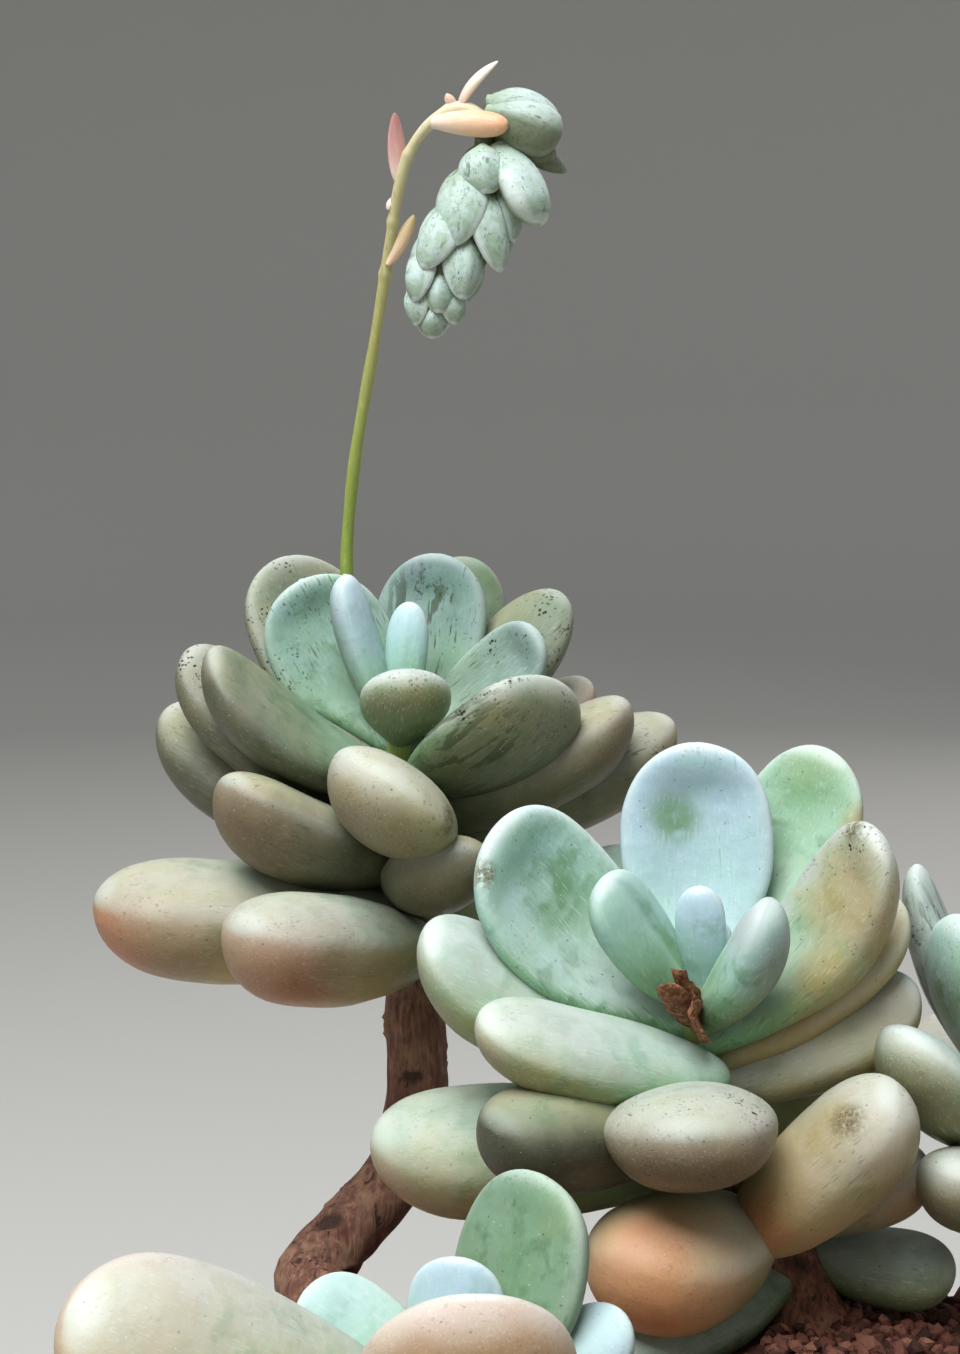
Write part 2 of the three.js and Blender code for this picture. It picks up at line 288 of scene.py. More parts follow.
def blend(under, over, share):
    """One colour laid over another, which is given as a wire or as a colour code."""
    values = {0: share, 6: under, 7: colour(over) if isinstance(over, str) else over}
    return Wire.node("ShaderNodeMix", {"data_type": "RGBA"}, values, output=2)


def ramp(value, stops):
    """A row of colours, from pairs of place and colour code."""
    settings = {"stops": [(place, colour(code)) for place, code in stops]}
    return Wire.node("ShaderNodeValToRGB", settings, {0: value})


def stretched(where, by):
    """A place with each of its three measures made longer or shorter."""
    return Wire.node("ShaderNodeVectorMath", {"operation": "MULTIPLY"}, {0: where, 1: by})


def in_mm():
    """The place on the object, in millimetres."""
    return stretched(Wire.node("ShaderNodeTexCoord", output=3), (1 / MM,) * 3)


def up_part(vector):
    """The upright part of a place or a direction."""
    return Wire.node("ShaderNodeSeparateXYZ", None, {0: vector}, output=2)


def facing_up():
    """How far the surface faces up, from -1 to 1."""
    return up_part(Wire.node("ShaderNodeNewGeometry", output=1))


def cloud(where, size, detail=2.0, rough=0.5, warp=0.0):
    """Soft noise from 0 to 1 with lumps of about the given size."""
    values = {"Vector": where, "Scale": 1 / size, "Detail": detail}
    return Wire.node("ShaderNodeTexNoise", None, {**values, "Roughness": rough, "Distortion": warp})


def dots(where, size):
    """Distance from the nearest of many scattered points, as a share of their spacing."""
    return Wire.node("ShaderNodeTexVoronoi", None, {"Vector": where, "Scale": 1 / size})


def bump(height, depth, under=None):
    """Fine relief: height from 0 to 1 stands for the given depth in millimetres."""
    values = {"Height": height, "Distance": depth * MM, "Strength": 1.0}
    if under is not None:
        values["Normal"] = under
    return Wire.node("ShaderNodeBump", None, values)


def finish_with(material, changing, fixed):
    """Joins what changes over the surface to the main shader, and sets what doesn't."""
    shader = material.node_tree.nodes["Principled BSDF"]
    for name, wire in changing.items():
        Wire.tree.links.new(wire.socket, shader.inputs[name])
    for name, value in fixed.items():
        shader.inputs[name].default_value = value
    print(f"finish {material.name}: {len(Wire.tree.nodes)} nodes")
    return material


# %% [markdown]
# ## The leaf finish
# A moonstone leaf is clear green flesh under a powdery bloom. Young leaves look pale blue, old
# ones beige, and a little sun turns the outer ends orange-pink. Handling rubs the bloom off in
# darker patches, and old wounds leave brown-black specks, scratches and corky scabs.
#
# All leaves share one recipe. What differs from leaf to leaf is written on each mesh as marks,
# and the recipe lays the layers over each other in the order in which they grew. Some marks are
# spots on part of a leaf: a green bruise, a corky scab, a sunburnt, peach or ochre flush, a
# silvery patch, a group of pits or a gash. The recipe also paints light and shade: the bloom and
# the rims are painted paler where they look up, and lower faces that look down, and leaves that
# lie in shadow, get painted shade.

# %% Leaf finish
FLESH = [
    (0.0, "b4986a"),
    (0.14, "b0a480"),
    (0.3, "a8a683"),
    (0.45, "8ea47e"),
    (0.58, "7aa67a"),
    (0.72, "8db99a"),
    (0.86, "9ac2ba"),
    (1.0, "abc4d0"),
]


def leaf_finish(name, painted_shade_strength):
    """Powdery wax over green flesh, guided by the marks on the leaf, with painted highlights where the wax and
    the rims look up and painted shade below and on leaves marked dark.
    """
    material = begin(name)
    along, upper = mark("along"), mark("upper")
    skin = mark("skin", output=1)
    lit = facing_up()
    blotch = cloud(skin, 10, 2, 0.5, 0.3)
    patch = cloud(skin, 3.6, 3)
    grain = cloud(skin, 0.5, 2, 0.6)

    drift = cloud(skin, 15)
    tone = mark("tone") + (blotch - 0.5) * 0.34 + (patch - 0.5) * 0.08
    flesh = ramp(tone, FLESH)
    old = fall(mark("tone"), 0.45, 0.72)
    flesh = blend(flesh, "a8a562", step(drift, 0.48, 0.66) * old * 0.45)
    flesh = blend(flesh, "a3908a", fall(drift, 0.34, 0.5) * old * 0.28)
    rubbed = step(patch, 0.48, 0.66) * step(blotch, 0.36, 0.6) * fall(along, 0.7, 1.0)
    green_foot = fall(along, 0.25, 0.75) * 0.35
    flesh = blend(flesh, "54854f", (rubbed * 0.75 + green_foot) * mark("green"))
    # Partly the leaf's own warmer lower face and partly painted shade: the lower face is darkened where it
    # looks down.
    underside_and_painted_shade = fall(upper, -0.75, 0.15) * (1 - mark("peach"))
    flesh = blend(flesh, "6b6448", underside_and_painted_shade * fall(lit, -0.5, 0.75) * (0.4 + 0.35 * blotch))

    # Painted sky highlight: the bloom is painted paler blue-white on faces that look up.
    bloom = step(lit, -0.15, 0.95) * (0.8 + 0.2 * fall(patch, 0.4, 0.62))
    flesh = blend(flesh, "d5e0e4", bloom * mark("bloom"))
    # Painted highlight: the rims and the end are painted pale where they look up.
    flesh = blend(flesh, "dfe6e0", step(mark("rim"), 0.45, 1.0) * step(lit, -0.4, 0.6) * 0.42)

    flush = step(along, 0.42, 1.0) * (0.6 + 0.9 * (blotch - 0.3)) * fall(upper, -0.3, 1.1)
    flesh = blend(flesh, "c27a58", flush * mark("blush"))
    flesh = blend(flesh, "c9a873", mark("peach") * (0.35 + 0.6 * drift))
    flesh = blend(flesh, "cc6e48", mark("sunburn") * (0.14 + 0.56 * blotch))
    flesh = blend(flesh, "a48f5c", mark("ochre") * (0.3 + 0.7 * patch))
    smudge = step(cloud(skin, 4.5, 1), 0.36, 0.56)
    flesh = blend(flesh, "648a60", mark("bruise") * (0.3 + 0.7 * smudge) * 0.85)
    flesh = blend(flesh, "b9babb", mark("silver") * (0.35 + 0.7 * patch))
    # Painted shade: leaves marked dark are darkened on faces that do not look straight up, more in some
    # rosettes than in others.
    shaded = mark("dark") * (0.7 + 0.5 * blotch) * fall(lit, 0.1, 1.4) * painted_shade_strength
    flesh = blend(flesh, "484938", shaded)

    worn, pitted = mark("worn"), mark("pitted")
    zone = step(cloud(skin, 7, 2), 0.46, 0.64) * step(along + 0.35 * mark("rim"), 0.5, 1.1) * worn
    uneven = (cloud(skin, 0.8, 2, 0.6) - 0.5) * 1.1
    cluster = step(cloud(skin, 2.4, 2, 0.6), 0.44, 0.6)
    speck = fall(dots(skin, 0.8) + uneven, 0.14, 0.4) * cluster * (zone + pitted)
    fleck = fall(dots(skin, 2.6), 0.03, 0.1) * step(worn, 0.0, 0.4) * 0.7
    streaks = cloud(stretched(skin, (2.0, 0.16, 2.0)), 1.0)
    scratch = step(streaks, 0.61, 0.67) * step(cloud(skin, 11), 0.5, 0.6) * worn
    hairs = step(cloud(stretched(skin, (3.2, 0.3, 3.2)), 1.0, 2, 0.6), 0.55, 0.7)
    flesh = blend(flesh, "dbe5e2", hairs * mark("bloom") * 0.4)
    torn = step(cloud(stretched(skin, (0.55, 0.08, 0.55)), 1.0, 2, 0.6), 0.53, 0.59)
    flesh = blend(flesh, "3e4930", torn * mark("gashed") * 0.8)
    flesh = blend(flesh, "454b33", scratch * 0.8)
    flesh = blend(flesh, "241f18", speck * 0.92)
    flesh = blend(flesh, "3b3427", fleck)
    dust = fall(dots(stretched(skin, (1, 1, 1.7)), 1.9), 0.02, 0.07)
    flesh = blend(flesh, "eef0ea", dust * 0.6)

    crust = mark("scab") * step(cloud(skin, 0.9, 3, 0.65), 0.3, 0.54)
    crust_colour = ramp(grain, [(0.3, "35301f"), (0.5, "625839"), (0.7, "94805a")])
    flesh = blend(flesh, crust_colour, crust * 0.85)

    gloss = 0.47 + 0.14 * bloom - 0.1 * rubbed + 0.25 * crust + 0.1 * (grain - 0.5)
    pits = 0.5 + 0.2 * grain - 0.6 * speck + 0.9 * crust
    relief = bump(pits, 0.15, under=bump(patch, 0.22))
    changing = {"Base Color": flesh, "Roughness": gloss, "Normal": relief}
    return finish_with(material, changing, {"IOR": 1.38})


# The number sets how strong the painted shade is in each rosette.
LEAF_FINISHES = {
    "tall": leaf_finish("tall_leaf_bloom", 1.2),
    "centre": leaf_finish("centre_leaf_bloom", 1.1),
    "side": leaf_finish("side_leaf_bloom", 1.1),
    "front": leaf_finish("front_leaf_bloom", 1.0),
}
print("leaf finishes:", ", ".join(LEAF_FINISHES))

# %% [markdown]
# ## The shape of a leaf
# A leaf is a drop: a narrow neck at the stem, the widest place past the middle and a blunt round
# end. A cut across it is nearly an ellipse, flatter above than below. Young leaves are dished like
# a spoon, which leaves a thick round rim, and a few have a long groove or a keel.
#
# One function builds them all from a few measures. It also makes bracts and bud scales, which
# are small leaves, most of them with pointed ends. Slow noise gives each leaf its own dents.

# %% Leaf outline
WIDEST_AT = 0.62
THIN_NECK, PLUMP_NECK = 0.22, 0.5
TIP_ROUND = 2.6
UPPER_SHARE = 0.4


def blunt_outline(s, neck, full, slim):
    """Half a leaf's width along its length, as a share of the widest.

    A full leaf has a round foot, and a slim one narrows early, like a spoon.
    """
    q = np.clip((s - WIDEST_AT) / (1 - WIDEST_AT), 0, 1)
    tip = np.sqrt(np.maximum(0, 1 - q**TIP_ROUND))
    q = np.clip((WIDEST_AT - s) / WIDEST_AT, 0, 1)
    foot = neck + (1 - neck) * np.cos(np.pi / 2 * q) ** (1.15 + slim)
    foot = foot + (np.sqrt(np.maximum(0, 1 - q**TIP_ROUND)) - foot) * full
    return np.where(s > WIDEST_AT, tip, foot)


def pointed_outline(s, neck, full, slim):
    """The same for a scale or bract that ends in a blunt point."""
    return np.maximum(np.sin(np.pi * s**0.87) ** 0.55, neck * (1 - s) ** 0.5 * (s < 0.35))


def rough(points, size, seed):
    """Slow noise from -1 to 1 at every point, with lumps of about the given size."""
    shift = Vector((seed * 7.3, seed * 3.1, seed * 5.7))
    return np.array([noise.noise(Vector(p) / size + shift) for p in points])


# %% Leaf skin
GROOVE_AT, GROOVE_WIDTH, KEEL_WIDTH = 0.2, 0.14, 0.16
BIG_DENT, SMALL_DENT = 12, 5
FULL_DENTS_FROM = 9


def leaf_skin(
    base, tip, up, width, thick, bow=0, roll=0, dish=0, groove=0, keel=0, cup=0, full=0, slim=0,
    pointed=False, dents=0.45, seed=0, rings=40, sides=48,
):
    """Points, faces and surface measures of one leaf. All lengths are in millimetres."""
    base, tip, up = (np.array(v, float) for v in (base, tip, up))
    length = np.linalg.norm(tip - base)
    axis = (tip - base) / length
    upper = up - axis * (up @ axis)
    upper /= np.linalg.norm(upper)
    turned = math.radians(roll)
    upper = upper * math.cos(turned) + np.cross(axis, upper) * math.sin(turned)
    across = np.cross(axis, upper)

    s = ((1 - np.cos(np.pi * np.arange(1, rings + 1) / (rings + 1))) / 2)[:, None]
    turn = (2 * np.pi * np.arange(sides) / sides)[None]
    x, rise = np.cos(turn), np.sin(turn)
    neck = THIN_NECK + (thick / width - 0.4) / 0.4 * (PLUMP_NECK - THIN_NECK)
    outline = pointed_outline if pointed else blunt_outline
    breadth = outline(s, neck, full, slim)
    wide = width / 2 * breadth * x
    spoon = dish * smooth_step(0.12, 0.45, s) * (1 - smooth_step(0.8, 1, s))
    lift = np.where(rise > 0, UPPER_SHARE * (rise - spoon * rise**3), (1 - UPPER_SHARE) * rise)
    deep = thick * outline(s, PLUMP_NECK, full, slim / 2) * lift
    deep = deep - groove * np.exp(-(((x - GROOVE_AT) / GROOVE_WIDTH) ** 2)) * (rise > 0) * np.sin(np.pi * s)
    deep = deep + keel * np.exp(-((x / KEEL_WIDTH) ** 2)) * (rise > 0) * np.sin(np.pi * s)
    deep = deep - cup * x**2 * breadth - bow * 4 * s * (1 - s)

    offset = upper * deep[..., None] + across * wide[..., None]
    points = base + axis * (length * s)[..., None] + offset
    points = np.vstack([[base], points.reshape(-1, 3), [tip]])
    outward = offset / (np.linalg.norm(offset, axis=2)[..., None] + 1e-6)
    outward = np.vstack([[-axis], outward.reshape(-1, 3), [axis]])
    lumps = rough(points, BIG_DENT, seed) + 0.2 * rough(points, SMALL_DENT, seed + 9)
    whole = lambda grid, first, last: np.concatenate([[first], np.ravel(grid), [last]])
    sturdy = smooth_step(0.02, 0.25, whole(s * np.ones_like(x), 0, 1))
    points = points + outward * (dents * min(1, thick / FULL_DENTS_FROM) * lumps * sturdy)[:, None]

    grid = np.ones((rings, sides))
    measures = {
        "along": whole(s * grid, 0, 1),
        "upper": whole(rise * grid, 0, 0),
        "across": whole(x * grid, 0, 0),
        "own": (points - base) @ np.column_stack([across, axis, upper]),
        "length": length,
        "width": width,
    }
    measures["rim"] = np.abs(measures["across"]) ** 3 * smooth_step(0.15, 0.5, measures["along"])
    over_tip = smooth_step(0.86, 1, measures["along"])
    measures["rim"] = np.maximum(measures["rim"], over_tip)
    faces = [face[::-1] for face in skin_faces(rings, sides)]
    return points, faces, measures


# %% Marks on a leaf
SPOT_KINDS = ("bruise", "scab", "sunburn", "peach", "ochre", "silver", "pitted", "gashed")
NEXT_SKIN = 37.0


def leaf_marks(
    measures, seed, tone=(0.5, 0.5), blush=0, dark=0, worn=0.3, green=0.5, bloom=0.4, spots=()
):
    """Writes a leaf's looks on its points: tones at neck and tip, and spots at a place each."""
    along, upper = measures["along"], measures["upper"]
    right, up_leaf, _ = measures["own"].T
    even = np.ones_like(along)
    marks = {
        "along": along,
        "upper": upper,
        "rim": measures["rim"],
        "tone": tone[0] + (tone[1] - tone[0]) * smooth_step(0.15, 0.9, along),
        "skin": measures["own"] + seed * NEXT_SKIN,
    }
    for name, value in {"blush": blush, "dark": dark, "worn": worn, "green": green, "bloom": bloom}.items():
        marks[name] = even * value
    for kind in SPOT_KINDS:
        marks[kind] = even * 0
    for kind, at_along, at_across, size, face in spots:
        far_along = up_leaf - at_along * measures["length"]
        far_across = right - at_across * measures["width"] / 2
        spot = 1 - smooth_step(0.3, 1.15, np.hypot(far_along, far_across) / size)
        spot = spot * smooth_step(-0.3, 0.1, upper * face if face else np.abs(upper))
        marks[kind] = np.maximum(marks[kind], spot)
    return marks


# %% [markdown]
# ## The stems
# Each woody stem runs up from the grit to the growing tip of its rosette. The leaves start from
# the middle line of their stem, so the stems' routes come first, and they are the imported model's
# own routes. A rosette also has an upward direction, because some of them lean.

# %% Stem routes
STEMS = {
    "tall": {
        "route": [
            (-52, 6, 62), (-56, 9, 78), (-64, 16, 92), (-73, 25, 100), (-76, 31, 104), (-69, 36, 111),
            (-60.5, 40, 122), (-58, 42, 134), (-58.5, 43, 150), (-59.5, 43, 162), (-60.5, 43, 179),
            (-60.8, 42, 199),
        ],
        "radii": (6.3, 6.1, 5.4, 2.4),
        "up": (0, -0.12, 1),
    },
    "centre": {
        "route": [
            (13, 18, 62), (11, 17, 80), (8, 16, 96), (4, 18, 109), (-5, 19, 122), (-11.5, 17, 137),
            (-12, 13, 149), (-11.2, 9, 159),
        ],
        "radii": (6.6, 6, 5, 2.2),
        "up": (-0.12, -0.5, 1),
    },
    "side": {
        "route": [(36, 36, 62), (38, 35, 84), (42, 33, 100), (45, 30, 122), (43.8, 26, 142.7)],
        "radii": (6, 5.6, 5, 2.2),
        "up": (0.1, -0.2, 1),
    },
    "front": {
        "route": [(-43, -43, 62), (-45, -46, 80), (-49, -52, 99), (-51.8, -58, 117.5)],
        "radii": (6, 5.6, 5, 2.4),
        "up": (0, 0, 1),
    },
}
STEM_RINGS = 170
for stem in STEMS.values():
    stem["line"] = smooth_route(stem["route"], STEM_RINGS)


def on_stem(rosette, height):
    """The point of a stem's middle line at a height."""
    line = STEMS[rosette]["line"]
    return np.array([np.interp(height, line[:, 2], line[:, i]) for i in range(3)])


for name, stem in STEMS.items():
    print(name, "growing tip at", stem["line"][-1].round(1))

# %% [markdown]
# ## The leaves, one by one
# Every row is one leaf. Its first two measures are how far under the growing tip it starts, and
# where it ends, measured from the growing tip. Then come its width and its thickness.
#
# The words after them are its shape and its looks. `tone` goes from 0, old and beige, through
# green to 1, young and blue, at the neck and at the tip. A spot has a kind, a place along and
# across the leaf, a size and a face: 1 is the upper face, -1 the lower one and 0 both.

# %% Leaf table
def leaf(below, tip, width, thick, **more):
    """One row: where a leaf starts and ends, its size, and whatever else sets it apart."""
    return {"below": below, "tip": tip, "width": width, "thick": thick, **more}


# The look `dark` is painted shade for leaves that lie in shadow, and the amount of bloom also sets how pale
# their upward faces are painted.
LEAVES = {
    "tall": [
        leaf(12, (-20.5, 21, 27), 28, 9, bow=2.5, dish=0.5, tone=(0.42, 0.36), dark=0.6, bloom=0.25,
             worn=1, spots=[("pitted", 0.8, -0.8, 6, 1), ("pitted", 0.55, -0.9, 6, 1)]),
        leaf(7, (-17.6, 9, 23.2), 23.5, 7.5, bow=3, roll=-34, dish=0.9, slim=0.6, tone=(0.64, 0.8),
             dark=0.3, worn=0.8, bloom=0.3, green=0.8, spots=[("pitted", 0.6, -0.8, 5, 1)]),
        leaf(4, (-9.5, 1, 24.5), 9, 7, bow=1, tone=(0.74, 0.98), dark=0.1, worn=0.15, bloom=0.5),
        leaf(7, (6.1, 15, 27.7), 21, 8, bow=3, dish=1.1, slim=0.5, tone=(0.68, 0.88), dark=0.42, worn=1,
             bloom=0.2, spots=[("gashed", 0.75, -0.2, 8, 1)]),
        leaf(13, (11, 28, 26.5), 21, 9, bow=3, tone=(0.56, 0.54), dark=0.7, green=1, bloom=0.05),
        leaf(3.5, (1.8, -15, 9.0), 15.5, 7.6, bow=0.5, tone=(0.6, 0.5), blush=0.1, dark=0.1, worn=0.5,
             green=1, bloom=0.6, spots=[("silver", 0.8, 0, 8, 1)]),
        leaf(10, (28, 12, 21), 18, 9, bow=2, roll=20, tone=(0.5, 0.4), dark=0.55, worn=1, bloom=0.22,
             spots=[("pitted", 0.92, 0.6, 6, 1), ("pitted", 0.72, 0.95, 5, 1)]),
        leaf(6, (24, -2, 14.8), 17, 7, bow=2, roll=42, dish=0.8, slim=0.5, tone=(0.6, 0.84), dark=0.55,
             worn=0.9, spots=[("pitted", 0.75, -0.6, 4, 1)]),
        leaf(13, (26.8, -18, 7.5), 25, 11, aside=(3, -5, 2), bow=2, roll=-30, dish=0.3, full=0.7,
             tone=(0.54, 0.38), dark=0.38, worn=1, green=1, bloom=0.3,
             spots=[("scab", 0.7, 0.7, 3.4, 1), ("pitted", 0.72, 0.7, 8, 1),
             ("gashed", 0.5, 0.5, 15, -1), ("gashed", 0.5, 0.9, 12, 1)]),
        leaf(12, (-32, -12, 11.5), 24, 11, bow=3, roll=-20, dish=0.3, tone=(0.64, 0.36), blush=0.15,
             dark=0.72, green=1, bloom=0.2),
        leaf(16, (-37.5, 4, 11), 23, 12, bow=3, roll=-15, tone=(0.42, 0.26), blush=0.15, dark=0.68,
             worn=0.9, bloom=0.3, spots=[("pitted", 0.94, -0.1, 7, 1)]),
        leaf(25, (-42, 13, 0), 23, 14, bow=3, roll=-15, tone=(0.42, 0.28), blush=0.12, dark=0.78,
             worn=0.5, bloom=0.22),
        leaf(25, (-28.4, -20, -9.5), 20, 15, bow=2, full=0.4, tone=(0.34, 0.2), blush=0.5, dark=0.6,
             worn=0.5, bloom=0.22),
        leaf(17, (-0.5, -34, -8), 24, 15, roll=-35, tone=(0.32, 0.22), blush=0.06, dark=0.16, worn=0.5,
             bloom=0.3, spots=[("scab", 0.82, -0.8, 2.4, 1)]),
        leaf(35, (-51.5, -12, -30.6), 25, 21, full=0.6, tone=(0.42, 0.25), blush=0.6, dark=0.2,
             bloom=0.25, spots=[("sunburn", 0.97, -0.2, 9, -1), ("peach", 0.5, -0.2, 14, -1)]),
        leaf(39, (-25.4, -32, -32.2), 23, 19, aside=(3, -3, 0), full=0.5, tone=(0.36, 0.28), blush=0.5,
             dark=0.25, bloom=0.35, spots=[("sunburn", 0.74, -0.2, 10, -1),
             ("peach", 0.5, -0.2, 14, -1)]),
        leaf(18, (39.5, -4, 2.5), 21, 14, bow=2, tone=(0.34, 0.24), blush=0.35, dark=0.5, worn=0.35,
             bloom=0.22),
        leaf(22, (48, 12, -2), 21, 15, bow=2, tone=(0.32, 0.22), blush=0.25, dark=0.35, worn=0.9,
             bloom=0.25),
        leaf(30, (10, -26, -20), 17, 13, tone=(0.26, 0.18), blush=0.12, dark=0.62, bloom=0.15),
    ],
    "centre": [
        leaf(8, (-0.4, 13, 38), 25.5, 9, bow=3, dish=1.3, slim=0.8, tone=(0.86, 1.0), worn=0.25,
             bloom=0.6, green=0.2, spots=[("bruise", 0.74, -0.3, 5.4, 1)]),
        leaf(9, (-33.5, -1, 26), 28.5, 10.5, bow=3, roll=-15, dish=1.1, slim=0.4, tone=(0.6, 0.8),
             worn=0.4, bloom=0.75, green=0.9, spots=[("bruise", 0.68, 0.05, 8, 1),
             ("scab", 0.93, -0.55, 2.6, 1)]),
        leaf(7, (21.4, 17, 36.7), 24, 10, bow=4, dish=0.8, tone=(0.66, 0.6), bloom=0.45, green=1,
             spots=[("ochre", 0.8, 1.0, 5, 1)]),
        leaf(10, (27.2, -5, 26), 21, 13, bow=6, roll=8, dish=0.5, tone=(0.62, 0.32), worn=0.6,
             bloom=0.45, green=1, spots=[("scab", 0.94, -0.3, 2.6, 1), ("pitted", 0.9, -0.3, 6, 1),
             ("ochre", 0.72, 0.3, 10, 1), ("ochre", 0.75, 0.6, 10, -1), ("ochre", 0.45, 0.8, 10, -1),
             ("ochre", 0.5, 0.8, 8, 1), ("silver", 0.3, -0.9, 5, 1), ("silver", 0.5, -0.9, 5, 1),
             ("silver", 0.7, -0.9, 5, 1), ("silver", 0.88, -0.7, 4, 1)]),
        leaf(4, (-16.4, -6, 18.2), 14, 8, bow=1, roll=-20, groove=1.2, tone=(0.6, 0.84), worn=0.1),
        leaf(7, (9, -14, 15.5), 14, 9, bow=2, keel=0.8, tone=(0.58, 0.9), worn=0.1, bloom=0.6,
             green=0.8, spots=[("silver", 0.85, 0, 8, 1)]),
        leaf(14, (-45, -7, 9.5), 23, 14, bow=4, roll=-8, tone=(0.62, 0.5), blush=0.1, worn=0.15,
             bloom=0.6, green=0.8),
        leaf(14.5, (-36, -18, -2.5), 19, 13, aside=(5, -7, 0), bow=1, full=0.8, tone=(0.62, 0.36),
             blush=0.1, worn=0.15, bloom=0.5, spots=[("ochre", 0.55, 0, 9, -1)]),
        leaf(29, (-53.5, 1, -26.5), 24, 21, aside=(0, 3, 0), full=0.4, tone=(0.56, 0.42), blush=0.4,
             worn=0.2),
        leaf(23, (-34.5, -25, -18), 20, 17, aside=(1, -3, 0), tone=(0.46, 0.36), blush=0.1, dark=0.95,
             worn=0.5, green=1, bloom=0.1),
        leaf(21, (-5, -34, -17), 27, 16, tone=(0.4, 0.28), blush=0.3, dark=0.45, worn=0.8,
             spots=[("pitted", 0.75, -0.7, 8, 1)]),
        leaf(42, (30, -15, -14), 21, 17, aside=(-4, -10, 0), full=1, tone=(0.1, 0.28), blush=0.1,
             dark=0.04, worn=0.4, bloom=0.3, green=0.2, spots=[("scab", 0.82, 0.35, 3.6, 1),
             ("ochre", 0.72, 0.2, 7, 1), ("peach", 0.3, 0.2, 17, 1), ("peach", 0.3, 0, 17, -1),
             ("sunburn", 0.22, 0.7, 8, 1)]),
        leaf(41, (-13, -27, -39), 26, 21, aside=(-1, 1, -1), full=0.8, tone=(0.26, 0.05), blush=0.5,
             worn=0.2, bloom=0.24, green=0.2, spots=[("peach", 0.9, 0, 17, -1),
             ("peach", 0.9, -0.1, 15, 1), ("sunburn", 0.94, -0.1, 9, 1),
             ("sunburn", 0.92, -0.1, 11, -1)]),
        leaf(18, (36.2, 9, -2), 20, 13, bow=2, tone=(0.28, 0.16), blush=0.15, dark=0.1, worn=0.25,
             green=0.2, spots=[("ochre", 0.6, 0, 16, -1)]),
        leaf(15, (33.5, 11, 12), 20, 10, bow=2, tone=(0.14, 0.04), worn=0.2, bloom=0.15, green=0.2,
             spots=[("ochre", 0.4, 0, 16, 0)]),
        leaf(42, (38, 6, -31), 15, 12, aside=(4, 3, 0), tone=(0.28, 0.1), blush=0.3, dark=0.15,
             worn=0.25),
        leaf(48, (42.5, 5, -49.5), 15, 11.5, aside=(3, 5, 0), tone=(0.46, 0.5), dark=0.42, worn=0.5,
             green=1, bloom=0.55),
        leaf(50, (-16, -20, -54.5), 18, 12, tone=(0.52, 0.52), dark=0.45, green=1),
    ],
    "side": [
        leaf(10, (-18, 1, 33), 13, 8, bow=2, tone=(0.6, 0.66), dark=0.1, worn=1, bloom=0.9, green=0,
             spots=[("gashed", 0.6, 0, 18, 0), ("silver", 0.6, 0, 24, 0)]),
        leaf(6, (-11, -12, 26), 24, 9, bow=3, tone=(0.62, 0.82), worn=0.2, bloom=0.6, green=1),
        leaf(14, (-24, -24, 9.5), 20, 13, bow=2, tone=(0.58, 0.44), blush=0.1, worn=0.2, bloom=0.6,
             green=0.8),
        leaf(24, (-17, -30, -12), 18, 14, tone=(0.42, 0.3), dark=0.25, worn=0.4),
        leaf(12, (33, -14, 12), 21, 11, bow=3, tone=(0.6, 0.5)),
        leaf(22, (38, 12, -6), 21, 14, bow=2, tone=(0.36, 0.15), blush=0.5),
        leaf(9, (13, 22, 26), 20, 9, bow=3, dish=0.7, tone=(0.66, 0.8), worn=0.2),
        leaf(18, (12, -34, 2), 21, 14, bow=2, tone=(0.45, 0.25), blush=0.3),
    ],
    "front": [
        leaf(9, (-49, -18, 16.3), 28, 20, aside=(-1, 0, -5), roll=-60, full=0.3, tone=(0.3, 0.14),
             blush=0.45, worn=0.25, bloom=0.45),
        leaf(9, (4, -25, 20), 29, 13, bow=3, tone=(0.3, 0.14), blush=0.45, worn=0.25, bloom=0.5),
        leaf(4, (-20, 11, 9.5), 15, 7, aside=(0, 3, 0), bow=2, roll=-50, tone=(0.66, 0.82), worn=0.1,
             bloom=0.5),
        leaf(3, (1.6, 6, 16.1), 14, 6, bow=2, tone=(0.84, 1.0), worn=0.1),
        leaf(6, (25.5, 4, 7.8), 14, 9, bow=2, roll=40, tone=(0.74, 0.96), dark=0.1, worn=0.15),
        leaf(8, (12.5, 13, 26.2), 25, 9, bow=3, dish=0.3, tone=(0.56, 0.62), dark=0.42, worn=0.5,
             green=1, bloom=0.15),
        leaf(14, (27, -20, -2), 22, 15, bow=2, tone=(0.38, 0.16), blush=0.5, worn=0.2),
    ],
}
HEART_LEAVES = {
    "tall": [
        leaf(1, (1.7, 3, 19.8), 7.6, 5.6, keel=0.5, tone=(0.72, 0.96), worn=0.1),
        leaf(1.5, (-4.5, 5, 9), 6, 4.5, tone=(0.66, 0.9), worn=0),
    ],
    "centre": [
        leaf(1, (-0.7, -1.5, 16.4), 8.2, 5.5, tone=(0.84, 1.0), worn=0),
        leaf(1.5, (3.4, 2, 10), 5, 4, tone=(0.8, 0.96), worn=0),
    ],
    "side": [
        leaf(2, (3, 2, 17), 8, 5.5, tone=(0.8, 0.95), worn=0.1),
    ],
    "front": [
        leaf(2, (6, -4, 12), 9, 5, tone=(0.78, 0.95), worn=0.1),
    ],
}
